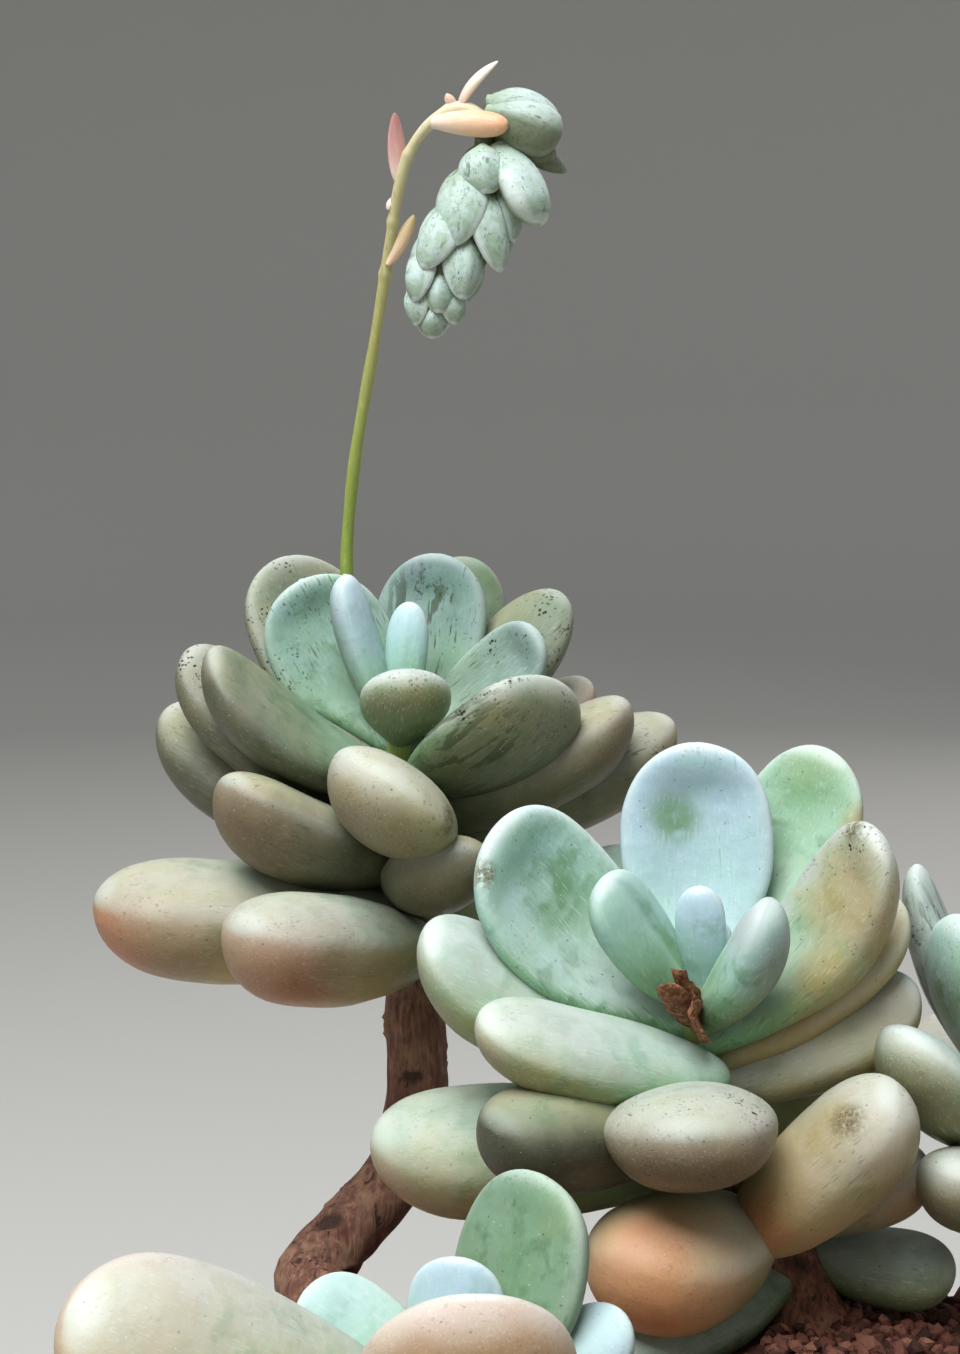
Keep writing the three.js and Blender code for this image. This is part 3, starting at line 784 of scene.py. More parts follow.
BACK_LEAVES = {
    "tall": [
        leaf(9, (-6, 37, 12), 19, 10, bow=2, dish=0.5, tone=(0.6, 0.62)),
        leaf(16, (16, 40, 3), 21, 13, bow=2, tone=(0.5, 0.32), blush=0.3, dark=0.2),
        leaf(17, (-24, 38, -1), 21, 13, bow=2, tone=(0.45, 0.28), blush=0.3, dark=0.2),
        leaf(24, (32, 29, -9), 20, 15, bow=2, tone=(0.34, 0.16), blush=0.5),
        leaf(28, (-3, 38, -15), 21, 16, bow=1, tone=(0.36, 0.14), blush=0.6),
        leaf(33, (-22, 32, -21), 21, 17, tone=(0.32, 0.12), blush=0.6),
        leaf(14, (33, 21, 4.5), 17, 11, bow=2, tone=(0.3, 0.1), blush=0.7, dark=0.3),
        leaf(36, (22, 27, -28), 20, 16, tone=(0.3, 0.12), blush=0.6),
    ],
    "centre": [
        leaf(12, (-14, 36, 17), 20, 10, bow=2, dish=0.5, tone=(0.62, 0.66)),
        leaf(16, (10, 41, 6), 22, 13, bow=2, tone=(0.55, 0.42), blush=0.2),
        leaf(22, (-30, 31, -2), 21, 14, bow=2, tone=(0.5, 0.3), blush=0.3),
        leaf(27, (29, 29, -12), 20, 15, tone=(0.4, 0.2), blush=0.4),
        leaf(33, (-8, 40, -18), 22, 17, tone=(0.34, 0.12), blush=0.5),
    ],
    "side": [
        leaf(15, (26, 27, 6), 20, 12, bow=2, tone=(0.55, 0.4), blush=0.2),
        leaf(20, (-6, 35, 0), 21, 14, bow=2, tone=(0.45, 0.25), blush=0.4),
        leaf(27, (20, -22, -18), 18, 14, tone=(0.34, 0.14), blush=0.5),
    ],
    "front": [
        leaf(12, (-14, 31, 0), 21, 14, bow=1, tone=(0.5, 0.3), blush=0.3),
        leaf(15, (19, 25, -5), 20, 14, bow=1, tone=(0.4, 0.2), blush=0.4),
        leaf(16, (-24, -28, -4), 21, 15, bow=1, tone=(0.36, 0.14), blush=0.5),
        leaf(17, (-33, 12, -6), 20, 14, bow=1, tone=(0.38, 0.16), blush=0.4),
    ],
}
for title, table in {"leaves": LEAVES, "hearts": HEART_LEAVES, "backs": BACK_LEAVES}.items():
    print(title, sum(map(len, table.values())))

# %% [markdown]
# ## Growing the leaves
# Most packed leaves stop just short of each other. The smooth ones keep their whole rounded form
# and press into their neighbours a little, which draws the same crisp lines between them as two
# plump leaves that touch.

# %% Surfaces to ask about
def surface(points, faces):
    """A surface that can be asked for its nearest point, with the box it fills."""
    points = np.asarray(points, float)
    return points.min(0), points.max(0), BVHTree.FromPolygons(points.tolist(), faces)


def packed_surface(node):
    """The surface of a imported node, in millimetres."""
    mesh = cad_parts[node].data
    points = np.array([v.co for v in mesh.vertices]) / MM
    return surface(points, [tuple(p.vertices) for p in mesh.polygons])


# %% Build the leaves
SHAPE_WORDS = ("width", "thick", "bow", "roll", "dish", "groove", "keel", "full", "slim")
LOOK_WORDS = ("tone", "blush", "dark", "worn", "green", "bloom", "spots")
grown = []


def grow_leaf(name, rosette, row, seed, node=None, **detail):
    """Builds one leaf of a rosette, and notes its surface so that the grit keeps clear of it."""
    crown = STEMS[rosette]["line"][-1]
    base = on_stem(rosette, crown[2] - row["below"]) + np.array(row.get("aside", (0, 0, 0)))
    shape = {word: row[word] for word in SHAPE_WORDS if word in row}
    looks = {word: row[word] for word in LOOK_WORDS if word in row}
    tip = crown + np.array(row["tip"])
    points, faces, measures = leaf_skin(base, tip, STEMS[rosette]["up"], seed=seed, **shape, **detail)
    grown.append(surface(points, faces))
    marks = leaf_marks(measures, seed, **looks)
    finish, slot = LEAF_FINISHES[rosette], f"{rosette}_leaves"
    return make_piece(name, points, faces, finish, (node,) if node else (), marks)


def rows_of(table):
    """Every row of a table, with its rosette and its number in that rosette."""
    return [(rosette, number, row) for rosette in table for number, row in enumerate(table[rosette], 1)]


seed = 0
for rosette, number, row in rows_of(LEAVES):
    seed += 1
    label = f"{number:02d}"
    grow_leaf(f"{rosette}_moonstone_{label}", rosette, row, seed, f"{rosette}_leaf_{label}")
for rosette, number, row in rows_of(BACK_LEAVES):
    seed += 1
    grow_leaf(f"{rosette}_back_moonstone_{number}", rosette, row, seed)
for rosette, number, row in rows_of(HEART_LEAVES):
    seed += 1
    grow_leaf(f"{rosette}_heart_{number}", rosette, row, seed, rings=24, sides=28, dents=0.2)
print("leaf surfaces:", len(grown))

# %% [markdown]
# ## Bark
# The stems are old wood: brown, dry and cracked lengthwise, with an oval scar wherever a leaf has
# dropped. Scars and the flared foot of a stem change its outline, so they are modelled, and only
# the fibres are left to the finish.

# %% Bark finish
def bark_finish():
    """Brown bark with lengthwise fibres, pale patches and dark leaf scars."""
    material = begin("stem_bark")
    where = in_mm()
    fibre = cloud(stretched(where, (1, 1, 0.16)), 0.9, 5, 0.65, 0.6)
    lump = cloud(where, 5, 4, 0.6, 0.3)
    brown = ramp(fibre, [(0.25, "4c3026"), (0.45, "6c4a3c"), (0.6, "866150"), (0.78, "a88672")])
    brown = blend(brown, "9a7a62", step(lump, 0.5, 0.68) * 0.6)
    brown = blend(brown, "5c3a2c", fall(lump, 0.32, 0.46) * 0.6)
    brown = blend(brown, "2c1d17", mark("scar") * 0.85)
    brown = blend(brown, "ab6c4c", mark("torn") * step(fibre, 0.4, 0.6) * 0.8)
    brown = blend(brown, "93a35c", mark("young") * 0.9)
    crack = fall(cloud(stretched(where, (1, 1, 0.12)), 1.5, 3, 0.6, 0.8), 0.28, 0.38)
    brown = blend(brown, "241710", crack * 0.7)
    height = fibre + 0.8 * lump - crack
    changing = {
        "Base Color": brown,
        "Roughness": 0.72 + 0.25 * fibre,
        "Normal": bump(height, 0.4),
    }
    return finish_with(material, changing, {"IOR": 1.4})


BARK = bark_finish()

# %% Build the stems
STEM_SIDES = 64
BARK_ROOM = 0.25
FLARE_HEIGHT = 5
SCAR_RADIUS, SCAR_HEIGHT = 5.2, 0.6
GRIT_LEVEL = {"tall": 88, "centre": 101, "side": 99, "front": 89}
SCARS = {
    "tall": [
        (137, -100, 3.0), (131, -60, 2.6), (122, -90, 2.8), (113, -120, 3.0), (104, -60, 3.4),
        (98, -110, 3.0), (140, 20, 2.8), (128, 80, 3.0), (116, 150, 3.0), (145, 170, 2.6),
    ],
    "centre": [(112, -70, 3.0), (120, -130, 2.6), (128, 20, 2.8), (116, 100, 3.0), (106, 170, 3.0)],
    "side": [(104, -80, 2.6), (112, 40, 2.8), (108, 160, 2.6)],
    "front": [(98, -100, 2.4), (101, 60, 2.4)],
}
FLARE = {"tall": 1.0, "centre": 2.4, "side": 1.2, "front": 1.0}


def build_stem(name, stem):
    """A woody stem with lengthwise ribs, leaf scars and a flared foot."""
    line = stem["line"]
    share = np.linspace(0, 1, STEM_RINGS)
    thick = np.interp(share, np.linspace(0, 1, len(stem["radii"])), stem["radii"])
    foot = np.exp(-np.maximum(0, line[:, 2] - GRIT_LEVEL[name]) / FLARE_HEIGHT)
    radius = np.repeat((thick - BARK_ROOM + FLARE[name] * foot)[:, None], STEM_SIDES, 1)
    points, faces = tube_skin(line, radius)
    skin = points[1:-1]
    centre = np.repeat(line, STEM_SIDES, 0)
    away = skin - centre
    facing = np.degrees(np.arctan2(away[:, 1], away[:, 0]))
    ribs = rough(skin * (1, 1, 0.22), 3.2, 3 + len(name))
    lumps = rough(skin, 6, 5 + len(name))
    scar = np.zeros(len(skin))
    lip = np.zeros(len(skin))
    for height, angle, size in SCARS[name]:
        turn = (facing - angle + 180) % 360 - 180
        sideways = np.radians(turn) * SCAR_RADIUS / size
        reach = np.hypot(sideways, (skin[:, 2] - height) / (SCAR_HEIGHT * size))
        scar = np.maximum(scar, 1 - smooth_step(0.55, 0.8, reach))
        lip = np.maximum(lip, np.exp(-(((reach - 1) / 0.22) ** 2)))
    relief = 0.4 * lumps + 0.45 * ribs * (1 + 1.6 * np.repeat(foot, STEM_SIDES))
    relief += 0.45 * lip - 0.45 * scar
    points[1:-1] = skin + away / np.linalg.norm(away, axis=1)[:, None] * relief[:, None]
    young = np.repeat(smooth_step(0.86, 0.94, share), STEM_SIDES)
    marks = {"scar": scar, "torn": np.repeat(foot, STEM_SIDES), "young": young}
    marks = {word: np.concatenate([[0], values, [0]]) for word, values in marks.items()}
    return make_piece(f"{name}_woody_stem", points, faces, BARK, (f"{name}_stem",), marks)


for name, stem in STEMS.items():
    build_stem(name, stem)
print("stems:", ", ".join(STEMS))

# %% [markdown]
# ## The flower stalk
# The stalk is smooth and fleshy, yellow-green below and pale cream towards the top. Four small
# bracts sit on it, one pink, one peach, one cream and one that lies along the bend, and two of its
# joints have a nub. They are small leaves, so the leaf function makes them too.

# %% Stalk and bract finishes
GREEN_BELOW, GREEN_TO_CREAM = 200, 105


def stalk_finish():
    """Fleshy green skin that turns to pale cream with height, flecked with red-brown."""
    material = begin("flower_stalk_skin")
    where = in_mm()
    height = up_part(where)
    long_fleck = cloud(stretched(where, (1, 1, 0.3)), 0.6, 3, 0.6)
    place = (height - GREEN_BELOW) / GREEN_TO_CREAM + (cloud(where, 4) - 0.5) * 0.12
    greens = [(0.0, "74903a"), (0.4, "93a34c"), (0.66, "b0ad70"), (0.85, "c6bd90"), (1.0, "d6ccae")]
    skin = ramp(place, greens)
    skin = blend(skin, "8d5a35", step(long_fleck, 0.6, 0.72) * 0.45)
    skin = blend(skin, "d9d49a", fall(long_fleck, 0.25, 0.42) * 0.35)
    fixed = {"Subsurface Weight": 0.25, "Subsurface Scale": 0.001, "IOR": 1.4}
    gloss, relief = 0.42 + 0.2 * long_fleck, bump(long_fleck, 0.08)
    return finish_with(material, {"Base Color": skin, "Roughness": gloss, "Normal": relief}, fixed)


def bract_finish(name, foot, middle, end):
    """Thin translucent flesh with faint lengthwise veins."""
    material = begin(name)
    skin = mark("skin", output=1)
    vein = cloud(stretched(skin, (3.0, 0.25, 1)), 1.0, 2)
    place = mark("along") + (cloud(skin, 2) - 0.5) * 0.25
    flesh = ramp(place, [(0.0, foot), (0.5, middle), (1.0, end)])
    flesh = blend(flesh, "f0e4d6", step(vein, 0.5, 0.75) * 0.35)
    fixed = {
        "Subsurface Weight": 0.4,
        "Subsurface Radius": (1.0, 0.5, 0.35),
        "Subsurface Scale": 0.0015,
        "IOR": 1.38,
    }
    gloss, relief = 0.4 + 0.15 * vein, bump(vein, 0.1)
    return finish_with(material, {"Base Color": flesh, "Roughness": gloss, "Normal": relief}, fixed)


STALK = stalk_finish()

# %% Build the stalk and its bracts
STALK_ROUTE = [
    (-62, 47, 188), (-66, 52, 199), (-69.5, 57, 211), (-70.7, 58, 223), (-70.2, 57, 233),
    (-68.7, 54, 245), (-65.5, 49, 262), (-63.1, 45, 275.5), (-60.8, 41, 288.6), (-58.7, 39, 295),
    (-55, 37, 299.5), (-50, 36, 301.6), (-46.2, 35.5, 299.5),
]
STALK_RINGS, STALK_SIDES = 220, 20
stalk_line = smooth_route(STALK_ROUTE, STALK_RINGS)
stalk_share = np.linspace(0, 1, STALK_RINGS)
stalk_radius = 1.1 - 0.16 * smooth_step(0.3, 0.8, stalk_share) + 0.4 * smooth_step(0.88, 1, stalk_share)
stalk_radius += 0.06 * np.sin(stalk_share * 47)
STALK_JOINTS = (0.71, 0.78, 0.87, 0.95)
JOINT_SWELL, JOINT_LENGTH = 0.22, 0.006
for joint in STALK_JOINTS:
    stalk_radius += JOINT_SWELL * np.exp(-(((stalk_share - joint) / JOINT_LENGTH) ** 2))
points, faces = tube_skin(stalk_line, np.repeat(stalk_radius[:, None], STALK_SIDES, 1))
make_piece("flower_stalk_skin", points, faces, STALK, ("flower_stalk",))

BRACTS = [
    dict(name="bract_pink", base=(-60.8, 40.4, 289.6), tip=(-61.3, 38, 301.2), width=3.0, thick=1.3,
         bow=0.7, up=(0, -1, 0.4), colours=("dcc9bd", "d09f98", "c48d8a")),
    dict(name="bract_low", base=(-62.8, 43.4, 276.3), tip=(-58.2, 42, 284.6), width=2.7, thick=1.5,
         bow=0.5, up=(0, -1, 0.4), colours=("dcb8a2", "dbc09a", "cdbb8c")),
    dict(name="bract_cream", base=(-50.8, 36, 301.4), tip=(-44.0, 35, 309.3), width=2.7, thick=1.6,
         bow=-1.0, up=(-0.8, -0.4, 0.6), colours=("dcc0b0", "ddd0bf", "e2dccd")),
    dict(name="bract_level", base=(-54.6, 36.2, 299.6), tip=(-42.4, 29.2, 298.2), width=4.6, thick=4.4,
         bow=-0.3, up=(0, -0.35, 1), colours=("e2d2c2", "e2bf9f", "dca77f")),
    dict(name="bract_nub", base=(-51.2, 36, 301.9), tip=(-52.6, 35.6, 304), width=1.8, thick=1.2,
         bow=0, up=(0, -1, 0.4), colours=("d9c0ae", "d9b8a6", "d9c0ae")),
    dict(name="bract_foot_nub", base=(-61.6, 42, 287.6), tip=(-62.6, 41.2, 285.4), width=1.7, thick=1.3,
         bow=0, up=(0, -1, 0.4), colours=("dccfc2", "dccfc2", "d9c0ae")),
]
for number, row in enumerate(BRACTS):
    points, faces, measures = leaf_skin(
        row["base"], row["tip"], row["up"], row["width"], row["thick"], bow=row["bow"],
        cup=0.4, pointed=row["name"] != "bract_level", dents=0.5, seed=80 + number, rings=26, sides=20,
    )
    every = leaf_marks(measures, 80 + number)
    marks = {word: every[word] for word in ("along", "skin")}
    finish = bract_finish(row["name"] + "_flesh", *row["colours"])
    make_piece(row["name"], points, faces, finish, (), marks)
print("bracts:", len(BRACTS))

# %% [markdown]
# ## The flower truss
# The nodding end is packed with thick scales that overlap like tiles, each hiding one bud. A
# smooth core fills the truss, and the scales are laid over it one at a time: those at the front
# with their partners round the back, then those at the sides, and last the bud at the top.

# %% Bud finish
def bud_finish():
    """Pale sage scales, worn through to dark green along scratches, with painted highlights on rims and upward
    faces and painted shade at the feet, underneath and on the core.
    """
    material = begin("bud_scale_bloom")
    skin = mark("skin", output=1)
    along, upper = mark("along"), mark("upper")
    patch = cloud(skin, 2.2, 4, 0.6, 0.5)
    lit = facing_up()
    sage = ramp(patch, [(0.25, "8ba58a"), (0.45, "a3baa8"), (0.6, "b2c6bf"), (0.8, "bccbd0")])
    # Painted highlight: paler on faces that look up.
    sage = blend(sage, "cfdadd", step(lit, -0.1, 0.9) * 0.45)
    # Painted shade: darker at the foot of each scale, where its neighbours cover it, and on faces that look
    # down.
    sage = blend(sage, "748a5a", fall(along, 0.05, 0.5) * 0.5)
    sage = blend(sage, "6d7350", fall(lit, -0.6, 0.35) * 0.55)
    worn = step(cloud(stretched(skin, (1.5, 0.6, 1)), 1.1, 4, 0.65, 0.8), 0.53, 0.64)
    worn = worn * step(cloud(skin, 3.4, 2), 0.42, 0.62)
    sage = blend(sage, "4f6a4c", worn * 0.75)
    nick = step(cloud(stretched(skin, (3.5, 0.9, 1)), 0.9, 3, 0.6, 0.6), 0.64, 0.7)
    sage = blend(sage, "2a3326", nick * step(patch, 0.35, 0.6) * 0.85)
    # Painted highlight along the rims.
    sage = blend(sage, "d2dbd6", step(mark("rim"), 0.5, 0.95) * 0.6)
    # Painted shade on the inner face, which looks at the core.
    sage = blend(sage, "6d7a4c", fall(upper, -0.9, -0.1) * 0.6)
    # Painted shade on the parts marked dark, the core and the top scales, where they look down.
    sage = blend(sage, "5f6443", mark("dark") * fall(lit, -0.2, 1.0) * (0.7 + 0.5 * patch))
    fixed = {"Subsurface Weight": 0.15, "Subsurface Scale": 0.0012, "IOR": 1.4}
    gloss, relief = 0.5 + 0.2 * patch, bump(patch - 0.7 * nick, 0.22)
    return finish_with(material, {"Base Color": sage, "Roughness": gloss, "Normal": relief}, fixed)


BUD = bud_finish()

# %% Build the truss
TRUSS_LINE = [
    (-46.3, 35.3, 298.6), (-46.3, 34.5, 293), (-47.6, 33.6, 286), (-50.2, 33, 279),
    (-53, 32.6, 272), (-54.6, 32.2, 266.2),
]
CORE_RINGS, CORE_SIDES = 60, 28
core_line = smooth_route(TRUSS_LINE, CORE_RINGS)
core_share = np.linspace(0, 1, CORE_RINGS)
CORE_PLACES, CORE_RADII = [0, 0.12, 0.3, 0.55, 0.8, 0.95, 1], [1.5, 1.8, 4.4, 5.4, 4.7, 2.6, 0.9]
core_radius = np.interp(core_share, CORE_PLACES, CORE_RADII)
points, faces = tube_skin(core_line, np.repeat(core_radius[:, None], CORE_SIDES, 1))
# The whole core is marked dark, for painted shade in the gaps between the scales.
marks = {"skin": points, "dark": np.ones(len(points))}
make_piece("truss_core", points, faces, BUD, ("bud_truss",), marks)

SCALES = [
    # each scale: base, tip, width, thickness
    ((-46.6, 31.4, 295.0), (-46.0, 27.2, 286.8), 8.2, 3.4),
    ((-49.2, 30.8, 291.0), (-51.4, 26.4, 278.2), 9.2, 3.8),
    ((-51.8, 30.6, 285.0), (-56.4, 27.0, 274.5), 8.6, 3.8),
    ((-56.2, 31.4, 277.8), (-57.8, 28, 269.3), 7.2, 3.4),
    ((-46.6, 31.2, 288.6), (-43.6, 28.0, 274.0), 8.6, 3.8),
    ((-49.4, 30.2, 281.4), (-49.9, 26.7, 269.5), 7.6, 3.6),
    ((-53.4, 30.4, 275.0), (-53.8, 27.4, 267.4), 5.8, 3.0),
    ((-57.2, 31.8, 272.4), (-57.6, 29.2, 265.4), 6.0, 3.0),
    ((-54.6, 30.8, 269.4), (-55.0, 29.6, 263.3), 6.0, 3.0),
    ((-51.0, 30.8, 271.8), (-51.4, 28.8, 265.6), 5.8, 3.0),
    ((-43.8, 33.2, 295.4), (-36.8, 28.6, 282.2), 11.0, 6.5),
    ((-43.4, 33.8, 289.0), (-41.4, 31.0, 279.0), 6.4, 3.6),
]
SIDE_SCALES = [
    ((-42.8, 33.8, 293.2), (-41.8, 33.4, 283.0), 9.0, 4.0),
    ((-43.4, 33.4, 285.6), (-44.6, 32.8, 274.8), 9.0, 4.0),
    ((-47.4, 33.2, 278.4), (-50.4, 32.6, 268.6), 7.4, 3.2),
    ((-50.0, 33.8, 291.0), (-53.2, 33.0, 281.0), 8.4, 3.4),
    ((-54.8, 33.4, 282.0), (-57.6, 32.8, 272.0), 8.0, 3.2),
]
TOP_SCALES = [
    # base, tip, width, thickness and the way out
    ((-46.2, 33.4, 300.6), (-33.6, 31.2, 296.6), 9.6, 6.0, (-0.05, -1.0, 0.3)),
    ((-46.0, 35.0, 303.0), (-33.4, 33.4, 299.4), 8.4, 4.2, (0.2, -0.5, 1)),
    ((-45.0, 36.6, 303.6), (-34.0, 35.8, 301.0), 8.0, 3.8, (0.25, 0.1, 1)),
    ((-45.0, 35.2, 297.4), (-34.4, 33.6, 293.2), 8.4, 4.6, (0.3, -0.6, -0.6)),
    ((-41.0, 35.2, 295.6), (-32.6, 35.0, 291.0), 4.2, 2.4, (0.2, -0.5, -0.8)),
    ((-45.0, 37.8, 299.4), (-34.8, 38.6, 296.0), 9.4, 5.0, (0, 1, 0.1)),
    ((-45.6, 35.6, 299.6), (-34.6, 35.0, 297.2), 7.6, 7.0, (0, -0.3, 1)),
]
MIRROR = np.array([1, -1, 1])
BACK_RISE = 1.2
BLUNT_FROM = 6
WITH_PARTNER = 10


def core_at(height):
    """The middle of the truss at a height."""
    return np.array([np.interp(-height, -core_line[:, 2], core_line[:, i]) for i in range(3)])


def outward(base, tip):
    """The way out from the core at the middle of a scale."""
    middle = (base + tip) / 2
    return middle - core_at(middle[2])


def round_the_back(place):
    """The same place on the other side of the core, a little higher."""
    return place * MIRROR + (0, 2 * core_at(place[2])[1], BACK_RISE)


def lay_scale(piece, base, tip, width, thick, out, seed, dark=0):
    """One bud scale, cupped over the core with its keel outward. The thickest ones are blunt."""
    points, faces, measures = leaf_skin(
        base, tip, out, width, thick, bow=-0.9, cup=1.5, keel=0.35, pointed=thick < BLUNT_FROM,
        dents=0.55, seed=seed, rings=26, sides=28,
    )
    every = leaf_marks(measures, seed, dark=dark)
    marks = {word: every[word] for word in ("along", "upper", "rim", "skin", "dark")}
    scales.append(make_piece(piece, points, faces, BUD, ("bud_truss",), marks))


scales = []
for number, (base, tip, *size) in enumerate(SCALES, 1):
    base, tip = np.array(base, float), np.array(tip, float)
    out = outward(base, tip)
    lay_scale(f"bud_scale_{number:02d}", base, tip, *size, out, 100 + number)
    if number <= WITH_PARTNER:
        name, ends = f"bud_scale_back_{number:02d}", (round_the_back(base), round_the_back(tip))
        lay_scale(name, *ends, *size, out * MIRROR, 120 + number)
for number, (base, tip, *size) in enumerate(SIDE_SCALES, 1):
    base, tip = np.array(base, float), np.array(tip, float)
    lay_scale(f"bud_scale_side_{number}", base, tip, *size, outward(base, tip), 160 + number)
for number, row in enumerate(TOP_SCALES, 1):
    # The top scales are marked for painted shade.
    lay_scale(f"bud_scale_top_{number}", *row, 140 + number, dark=0.8)
print("bud scales:", len(scales))

# %% [markdown]
# ## Grit
# The bowl is filled with crushed red lava. A lumpy bed gives the mound its body, and more than
# three thousand sharp grains lie on it. Each grain is a rough ball with pushed-about corners, and
# they are all written into one mesh with a shade each, because separate objects would be slow.

# %% Grit finish
def grit_finish():
    """Rough red-brown stone, a different shade for each grain."""
    material = begin("lava_grit")
    where = in_mm()
    pore = cloud(where, 0.7, 4, 0.7)
    reds = [(0.1, "37201a"), (0.4, "633c30"), (0.65, "855343"), (0.9, "a6745f")]
    stone = ramp(mark("shade") + (pore - 0.5) * 0.3, reds)
    stone = blend(stone, "24140f", fall(pore, 0.32, 0.42) * 0.7)
    gloss, relief = 0.8 + 0.2 * pore, bump(pore, 0.35)
    return finish_with(material, {"Base Color": stone, "Roughness": gloss, "Normal": relief}, {"IOR": 1.45})


GRIT = grit_finish()

# %% Build the grit bed
GRIT_EDGE, GRIT_CROWN = 75, 102
INNER_FOOT, INNER_TOP, FLOOR, POT_HEIGHT = 57, 79.5, 7, 80
BED_SIDES = 120
HEAP_X, HEAP_Y, HEAP_HEIGHT, HEAP_SPREAD = 34, 36, 6.5, 800


def inner_radius(z):
    """Radius of the bowl's inner wall at a height."""
    return INNER_FOOT + (INNER_TOP - INNER_FOOT) * (z - FLOOR) / (POT_HEIGHT - FLOOR)


def mound(x, y):
    """Height of the grit at a place. It is heaped up a little round the stem at the right."""
    level = GRIT_CROWN - (GRIT_CROWN - GRIT_EDGE) * (np.hypot(x, y) / inner_radius(GRIT_EDGE)) ** 2
    return level + HEAP_HEIGHT * np.exp(-((x - HEAP_X) ** 2 + (y - HEAP_Y) ** 2) / HEAP_SPREAD)


def turned_skin(profile, sides):
    """A closed skin turned round the upright axis. The profile starts and ends on the axis."""
    inner = np.array(profile[1:-1], float)
    turn = 2 * np.pi * np.arange(sides) / sides
    rings = [np.column_stack([r * np.cos(turn), r * np.sin(turn), np.full(sides, z)]) for r, z in inner]
    first, last = ([[0, 0, z]] for z in (profile[0][1], profile[-1][1]))
    return np.vstack([first, *rings, last]), skin_faces(len(inner), sides)


edge = inner_radius(GRIT_EDGE) - 0.4
bed_profile = [(0, 7.4), (53.5, 7.4), (57.6, 11)]
bed_profile += [(r, GRIT_CROWN) for r in np.linspace(edge, 1.5, 46)]
bed_profile += [(0, GRIT_CROWN)]
points, faces = turned_skin(bed_profile, BED_SIDES)
top = points[:, 2] > 60
points[top, 2] = mound(points[top, 0], points[top, 1]) - 0.9
points[top, 2] += 0.7 * rough(points[top], 3.0, 2) * (np.hypot(*points[top, :2].T) < edge - 1)
shade = 0.35 + 0.2 * rough(points, 4, 8)
make_piece("grit_bed", points, faces, GRIT, ("grit",), {"shade": shade})
print(f"grit bed: {len(faces)} faces, crown at {points[:, 2].max():.1f} mm")

# %% Scatter the grains
SPACING, ROW_STEP = 2.35, 0.866
ROWS = 40
JITTER, WALL_GAP = 0.8, 1.6
LOWEST, HIGHEST = -0.9, 0.5
NEAR, CLEAR = 2, 1.5
work = bmesh.new()
bmesh.ops.create_icosphere(work, subdivisions=1, radius=1)
ball = np.array([v.co for v in work.verts])
ball_faces = [[v.index for v in f.verts] for f in work.faces]
work.free()

places = []
for row in range(-ROWS, ROWS + 1):
    for column in range(-ROWS, ROWS + 1):
        spot = np.array([(column + 0.5 * (row % 2)) * SPACING, row * SPACING * ROW_STEP])
        spot = spot + rng.uniform(-JITTER, JITTER, 2)
        if np.hypot(*spot) < edge - WALL_GAP:
            places.append((*spot, mound(*spot) + rng.uniform(LOWEST, HIGHEST)))
places = np.array(places)
in_the_way = [packed_surface(f"{name}_stem") for name in STEMS] + grown


def is_free(place):
    """True where a grain touches neither a stem nor a leaf."""
    for low, high, tree in in_the_way:
        if np.all(place > low - NEAR) and np.all(place < high + NEAR):
            spot, normal, _, gap = tree.find_nearest(place)
            if gap < CLEAR or (Vector(place) - spot).dot(normal) < 0:
                return False
    return True


places = places[[is_free(place) for place in places]]
count = len(places)
size = rng.uniform(0.95, 1.75, count) * np.where(rng.random(count) < 0.12, 1.5, 1.0)
turns = [
    Matrix.Rotation(rng.uniform(0, 6.28), 3, Vector(rng.normal(size=3)).normalized())
    for _ in range(count)
]
corners = []
for i in range(count):
    rock = ball * rng.uniform(0.68, 1.18, (len(ball), 1)) * rng.uniform(0.7, 1.15, 3)
    corners.append(places[i] + size[i] * rock @ np.array(turns[i]))
points = np.vstack(corners)
faces = [[v + i * len(ball) for v in face] for i in range(count) for face in ball_faces]
shade = np.repeat(rng.uniform(0.15, 0.85, count), len(ball))
make_piece("grit_grains", points, faces, GRIT, ("grit",), {"shade": shade}, flat=True)
print("grains:", count)

# %% [markdown]
# ## The clay bowl
# A plain shallow bowl of unglazed clay with a thick rim band, turned on a wheel. The wheel leaves
# faint rings, the kiln leaves warmer and paler areas, and watering draws pale salts out near the
# rim and the foot. The three drain holes go right through the floor.

# %% Clay finish
def clay_finish():
    """Warm matt clay with turning lines, salts and small pores."""
    material = begin("bowl_clay")
    where = in_mm()
    height = up_part(where)
    lines = cloud(stretched(where, (0.05, 0.05, 2.2)), 1.6, 3, 0.6)
    blotch = cloud(where, 22, 4, 0.6, 0.4)
    fine = cloud(where, 0.7, 3, 0.6)
    clay = ramp(blotch + (lines - 0.5) * 0.2, [(0.3, "9a5638"), (0.5, "b0694a"), (0.7, "c07d5c")])
    salt = step(cloud(where, 12, 5, 0.65, 0.7), 0.5, 0.68) * (fall(height, 4, 34) + step(height, 58, 76))
    clay = blend(clay, "d8c3ae", salt * 0.5)
    pore = fall(dots(where, 1.6), 0.05, 0.16)
    clay = blend(clay, "6b3a27", pore * 0.6)
    relief = bump(fine - 0.8 * pore, 0.18, under=bump(lines, 0.25))
    gloss = 0.78 + 0.18 * fine
    return finish_with(material, {"Base Color": clay, "Roughness": gloss, "Normal": relief}, {"IOR": 1.45})


CLAY = clay_finish()

# %% Bowl profile
BEND_STEPS = 5
BOWL_SIDES = 160


